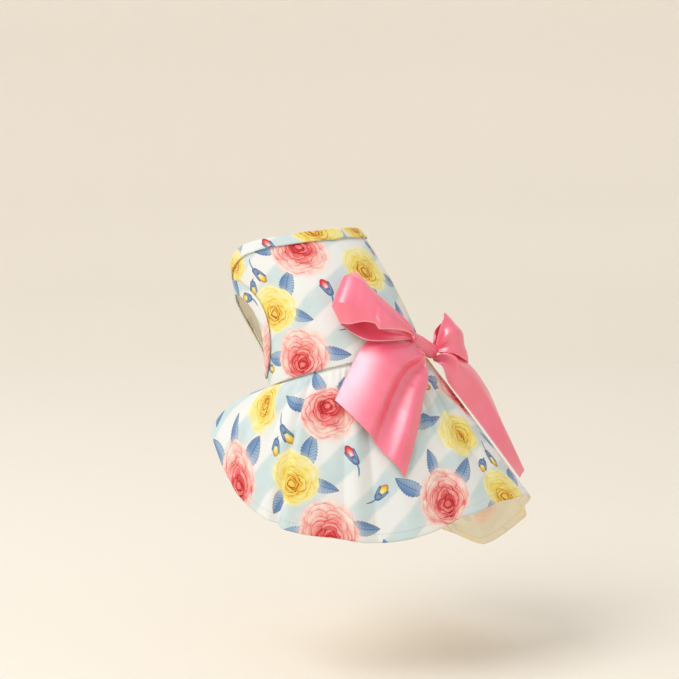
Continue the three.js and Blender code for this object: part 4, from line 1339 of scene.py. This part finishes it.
class DRESS_OT_bodice(bpy.types.Operator):
    """Cuts the back and chest panels of the bodice"""

    bl_idname = "dress.bodice"
    bl_label = "Bodice"

    def execute(self, context):
        seam = math.degrees(sizes().side_seam_turn)
        bodice_panel("bodice_back", "back_panel", -seam, seam, (20, 30), BACK_COLUMNS)
        bodice_panel("bodice_chest", "chest_panel", seam, 360 - seam, (90, 10), CHEST_COLUMNS)
        return {"FINISHED"}


class DRESS_OT_bindings(bpy.types.Operator):
    """Folds the bands round the armholes and the neck"""

    bl_idname = "dress.bindings"
    bl_label = "Bindings"

    def execute(self, context):
        arm_band("armhole_band_left", "left_arm_band", 1, (20, 132))
        arm_band("armhole_band_right", "right_arm_band", -1, (60, 132))
        neck_band("neckline_band", "neck_band", (0, 98))
        return {"FINISHED"}


class DRESS_OT_skirt(bpy.types.Operator):
    """Hangs the pleated skirt from the waist seam"""

    bl_idname = "dress.skirt"
    bl_label = "Skirt"

    def execute(self, context):
        skirt_piece("pleated_skirt", "skirt", (60, 12))
        return {"FINISHED"}


class DRESS_OT_bow(bpy.types.Operator):
    """Ties the satin bow: its knot, two loops and two tails"""

    bl_idname = "dress.bow"
    bl_label = "Bow"

    def execute(self, context):
        knot_piece("ribbon_knot", "bow_knot")
        loop_piece(
            "ribbon_loop_left", "bow_left_loop", -1, LEFT_LOOP, LOOP_ROOM["left"], left_loop_fold,
            left_loop_trim,
        )
        loop_piece(
            "ribbon_loop_right", "bow_right_loop", 1, RIGHT_LOOP, LOOP_ROOM["right"], right_loop_fold
        )
        tail_piece("ribbon_tail_left", "bow_left_tail", -1, LEFT_TAIL, TAIL_ROOM["left"], left_tail_fold)
        tail_piece(
            "ribbon_tail_right", "bow_right_tail", 1, RIGHT_TAIL, TAIL_ROOM["right"], right_tail_fold
        )
        return {"FINISHED"}


# The photograph's view: a camera at the dress's left rear, a little above it
CAMERA_AZIMUTH = -45
CAMERA_ELEVATION = 8
CAMERA_DISTANCE = 1.6
METRES_PER_PIXEL = 0.86 * MM
IMAGE_WIDTH = 679
SENSOR_WIDTH = 36
ORIGIN_PIXEL = (347, 371)
FLOOR_HEIGHT = -0.24
FLOOR_SIDES = 96
# How far out and how high the floor's rings are, in metres
FLOOR_PROFILE = (
    (0.6, 0), (1.2, 0), (2.0, 0), (2.5, 0.06), (2.85, 0.25), (3.1, 0.62), (3.2, 1.1), (3.2, 1.6),
)
SKY_STRENGTH = 0.62


def build_stage(scene):
    """The camera of the photograph's view, the floor and the lights."""
    azimuth, elevation = math.radians(CAMERA_AZIMUTH), math.radians(CAMERA_ELEVATION)
    back = Vector(
        (
            math.sin(azimuth) * math.cos(elevation),
            -math.cos(azimuth) * math.cos(elevation),
            math.sin(elevation),
        )
    )
    camera = bpy.data.objects.new("camera", bpy.data.cameras.new("camera"))
    scene.collection.objects.link(camera)
    camera.location = back * CAMERA_DISTANCE
    camera.rotation_mode = "QUATERNION"
    camera.rotation_quaternion = (-back).to_track_quat("-Z", "Y")
    camera.data.sensor_width = SENSOR_WIDTH
    camera.data.lens = SENSOR_WIDTH * CAMERA_DISTANCE / (METRES_PER_PIXEL * IMAGE_WIDTH)
    camera.data.shift_x = -(ORIGIN_PIXEL[0] - IMAGE_WIDTH / 2) / IMAGE_WIDTH
    camera.data.shift_y = (ORIGIN_PIXEL[1] - IMAGE_WIDTH / 2) / IMAGE_WIDTH
    scene.camera = camera
    scene.view_settings.view_transform = "Standard"
    build_floor(scene)
    build_lights(scene, back)


def build_floor(scene):
    """A pale floor that curves up into a backdrop all round, so that every view has the same ground."""
    sides = FLOOR_SIDES
    points = [(0, 0, FLOOR_HEIGHT)]
    for reach, rise in FLOOR_PROFILE:
        for i in range(sides):
            around = i / sides * TAU
            points.append((math.cos(around) * reach, math.sin(around) * reach, FLOOR_HEIGHT + rise))
    faces = [(0, 1 + i, 1 + (i + 1) % sides) for i in range(sides)]
    for ring in range(len(FLOOR_PROFILE) - 1):
        start = 1 + ring * sides
        for i in range(sides):
            following = (i + 1) % sides
            faces.append((start + i, start + sides + i, start + sides + following, start + following))
    mesh = smooth_mesh("studio_floor", points, faces)
    material, tree = new_material("Paper backdrop, matt")
    cloud = add(tree, NOISE, {"Scale": 3.0, "Detail": 3.0})
    tint = add(tree, COLOUR_MIX, {"Factor": cloud, "A": (*colours().floor, 1), "B": paint("#efe6d8")})
    shader = add(tree, "ShaderNodeBsdfPrincipled", {"Base Color": tint, "Roughness": 0.9})
    add(tree, OUTPUT, {"Surface": shader})
    mesh.materials.append(material)
    floor = bpy.data.objects.new("studio_floor", mesh)
    scene.collection.objects.link(floor)


def build_lights(scene, back):
    """A large soft light above left of the camera, a fill at its right, dim lights above and behind
    the dress and a soft sky."""
    left = Vector((0, 0, 1)).cross(back).normalized() * -1
    # Each lamp's place, its size in metres and its power in watts
    lamps = (
        ("key", back * 1.0 + left * 1.6 + Vector((0, 0, 2.2)), 1.8, 50),
        ("fill", back * 2.6 - left * 2.8 + Vector((0, 0, 1.5)), 3.0, 6),
        ("top", Vector((0, 0, 4.2)), 3.5, 5),
        ("rear", back * -2.8 + Vector((0, 0, 2.7)), 2.8, 14),
    )
    for name, place, size, power in lamps:
        lamp = bpy.data.lights.new(name, "AREA")
        lamp.energy = power
        lamp.size = size
        light = bpy.data.objects.new(name, lamp)
        light.location = place
        light.rotation_mode = "QUATERNION"
        light.rotation_quaternion = (-place).to_track_quat("-Z", "Y")
        scene.collection.objects.link(light)
    world = bpy.data.worlds.new("studio")
    world.use_nodes = True
    sky = world.node_tree.nodes["Background"].inputs
    sky["Color"].default_value = paint("#fcfdff")
    sky["Strength"].default_value = SKY_STRENGTH
    scene.world = world


class DRESS_PT_panel(bpy.types.Panel):
    """The dress's sizes, colours and pieces"""

    bl_label = "Dog Dress"
    bl_idname = "DRESS_PT_panel"
    bl_space_type = "VIEW_3D"
    bl_region_type = "UI"
    bl_category = "Dog Dress"

    def draw(self, context):
        for group in (context.scene.dress_sizes, context.scene.dress_colours):
            box = self.layout.box()
            for name in group.__annotations__:
                box.prop(group, name)
        for operator in OPERATORS:
            self.layout.operator(operator.bl_idname)


OPERATORS = (DRESS_OT_stage, DRESS_OT_bodice, DRESS_OT_bindings, DRESS_OT_skirt, DRESS_OT_bow)
CLASSES = (DressSizes, DressColours, *OPERATORS, DRESS_PT_panel)


def register():
    for cls in CLASSES:
        bpy.utils.register_class(cls)
    bpy.types.Scene.dress_sizes = bpy.props.PointerProperty(type=DressSizes)
    bpy.types.Scene.dress_colours = bpy.props.PointerProperty(type=DressColours)


def unregister():
    del bpy.types.Scene.dress_colours
    del bpy.types.Scene.dress_sizes
    for cls in reversed(CLASSES):
        bpy.utils.unregister_class(cls)


def main():
    register()
    bpy.ops.dress.stage()
    bpy.ops.dress.bodice()
    bpy.ops.dress.bindings()
    bpy.ops.dress.skirt()
    bpy.ops.dress.bow()


if __name__ == "__main__":
    main()
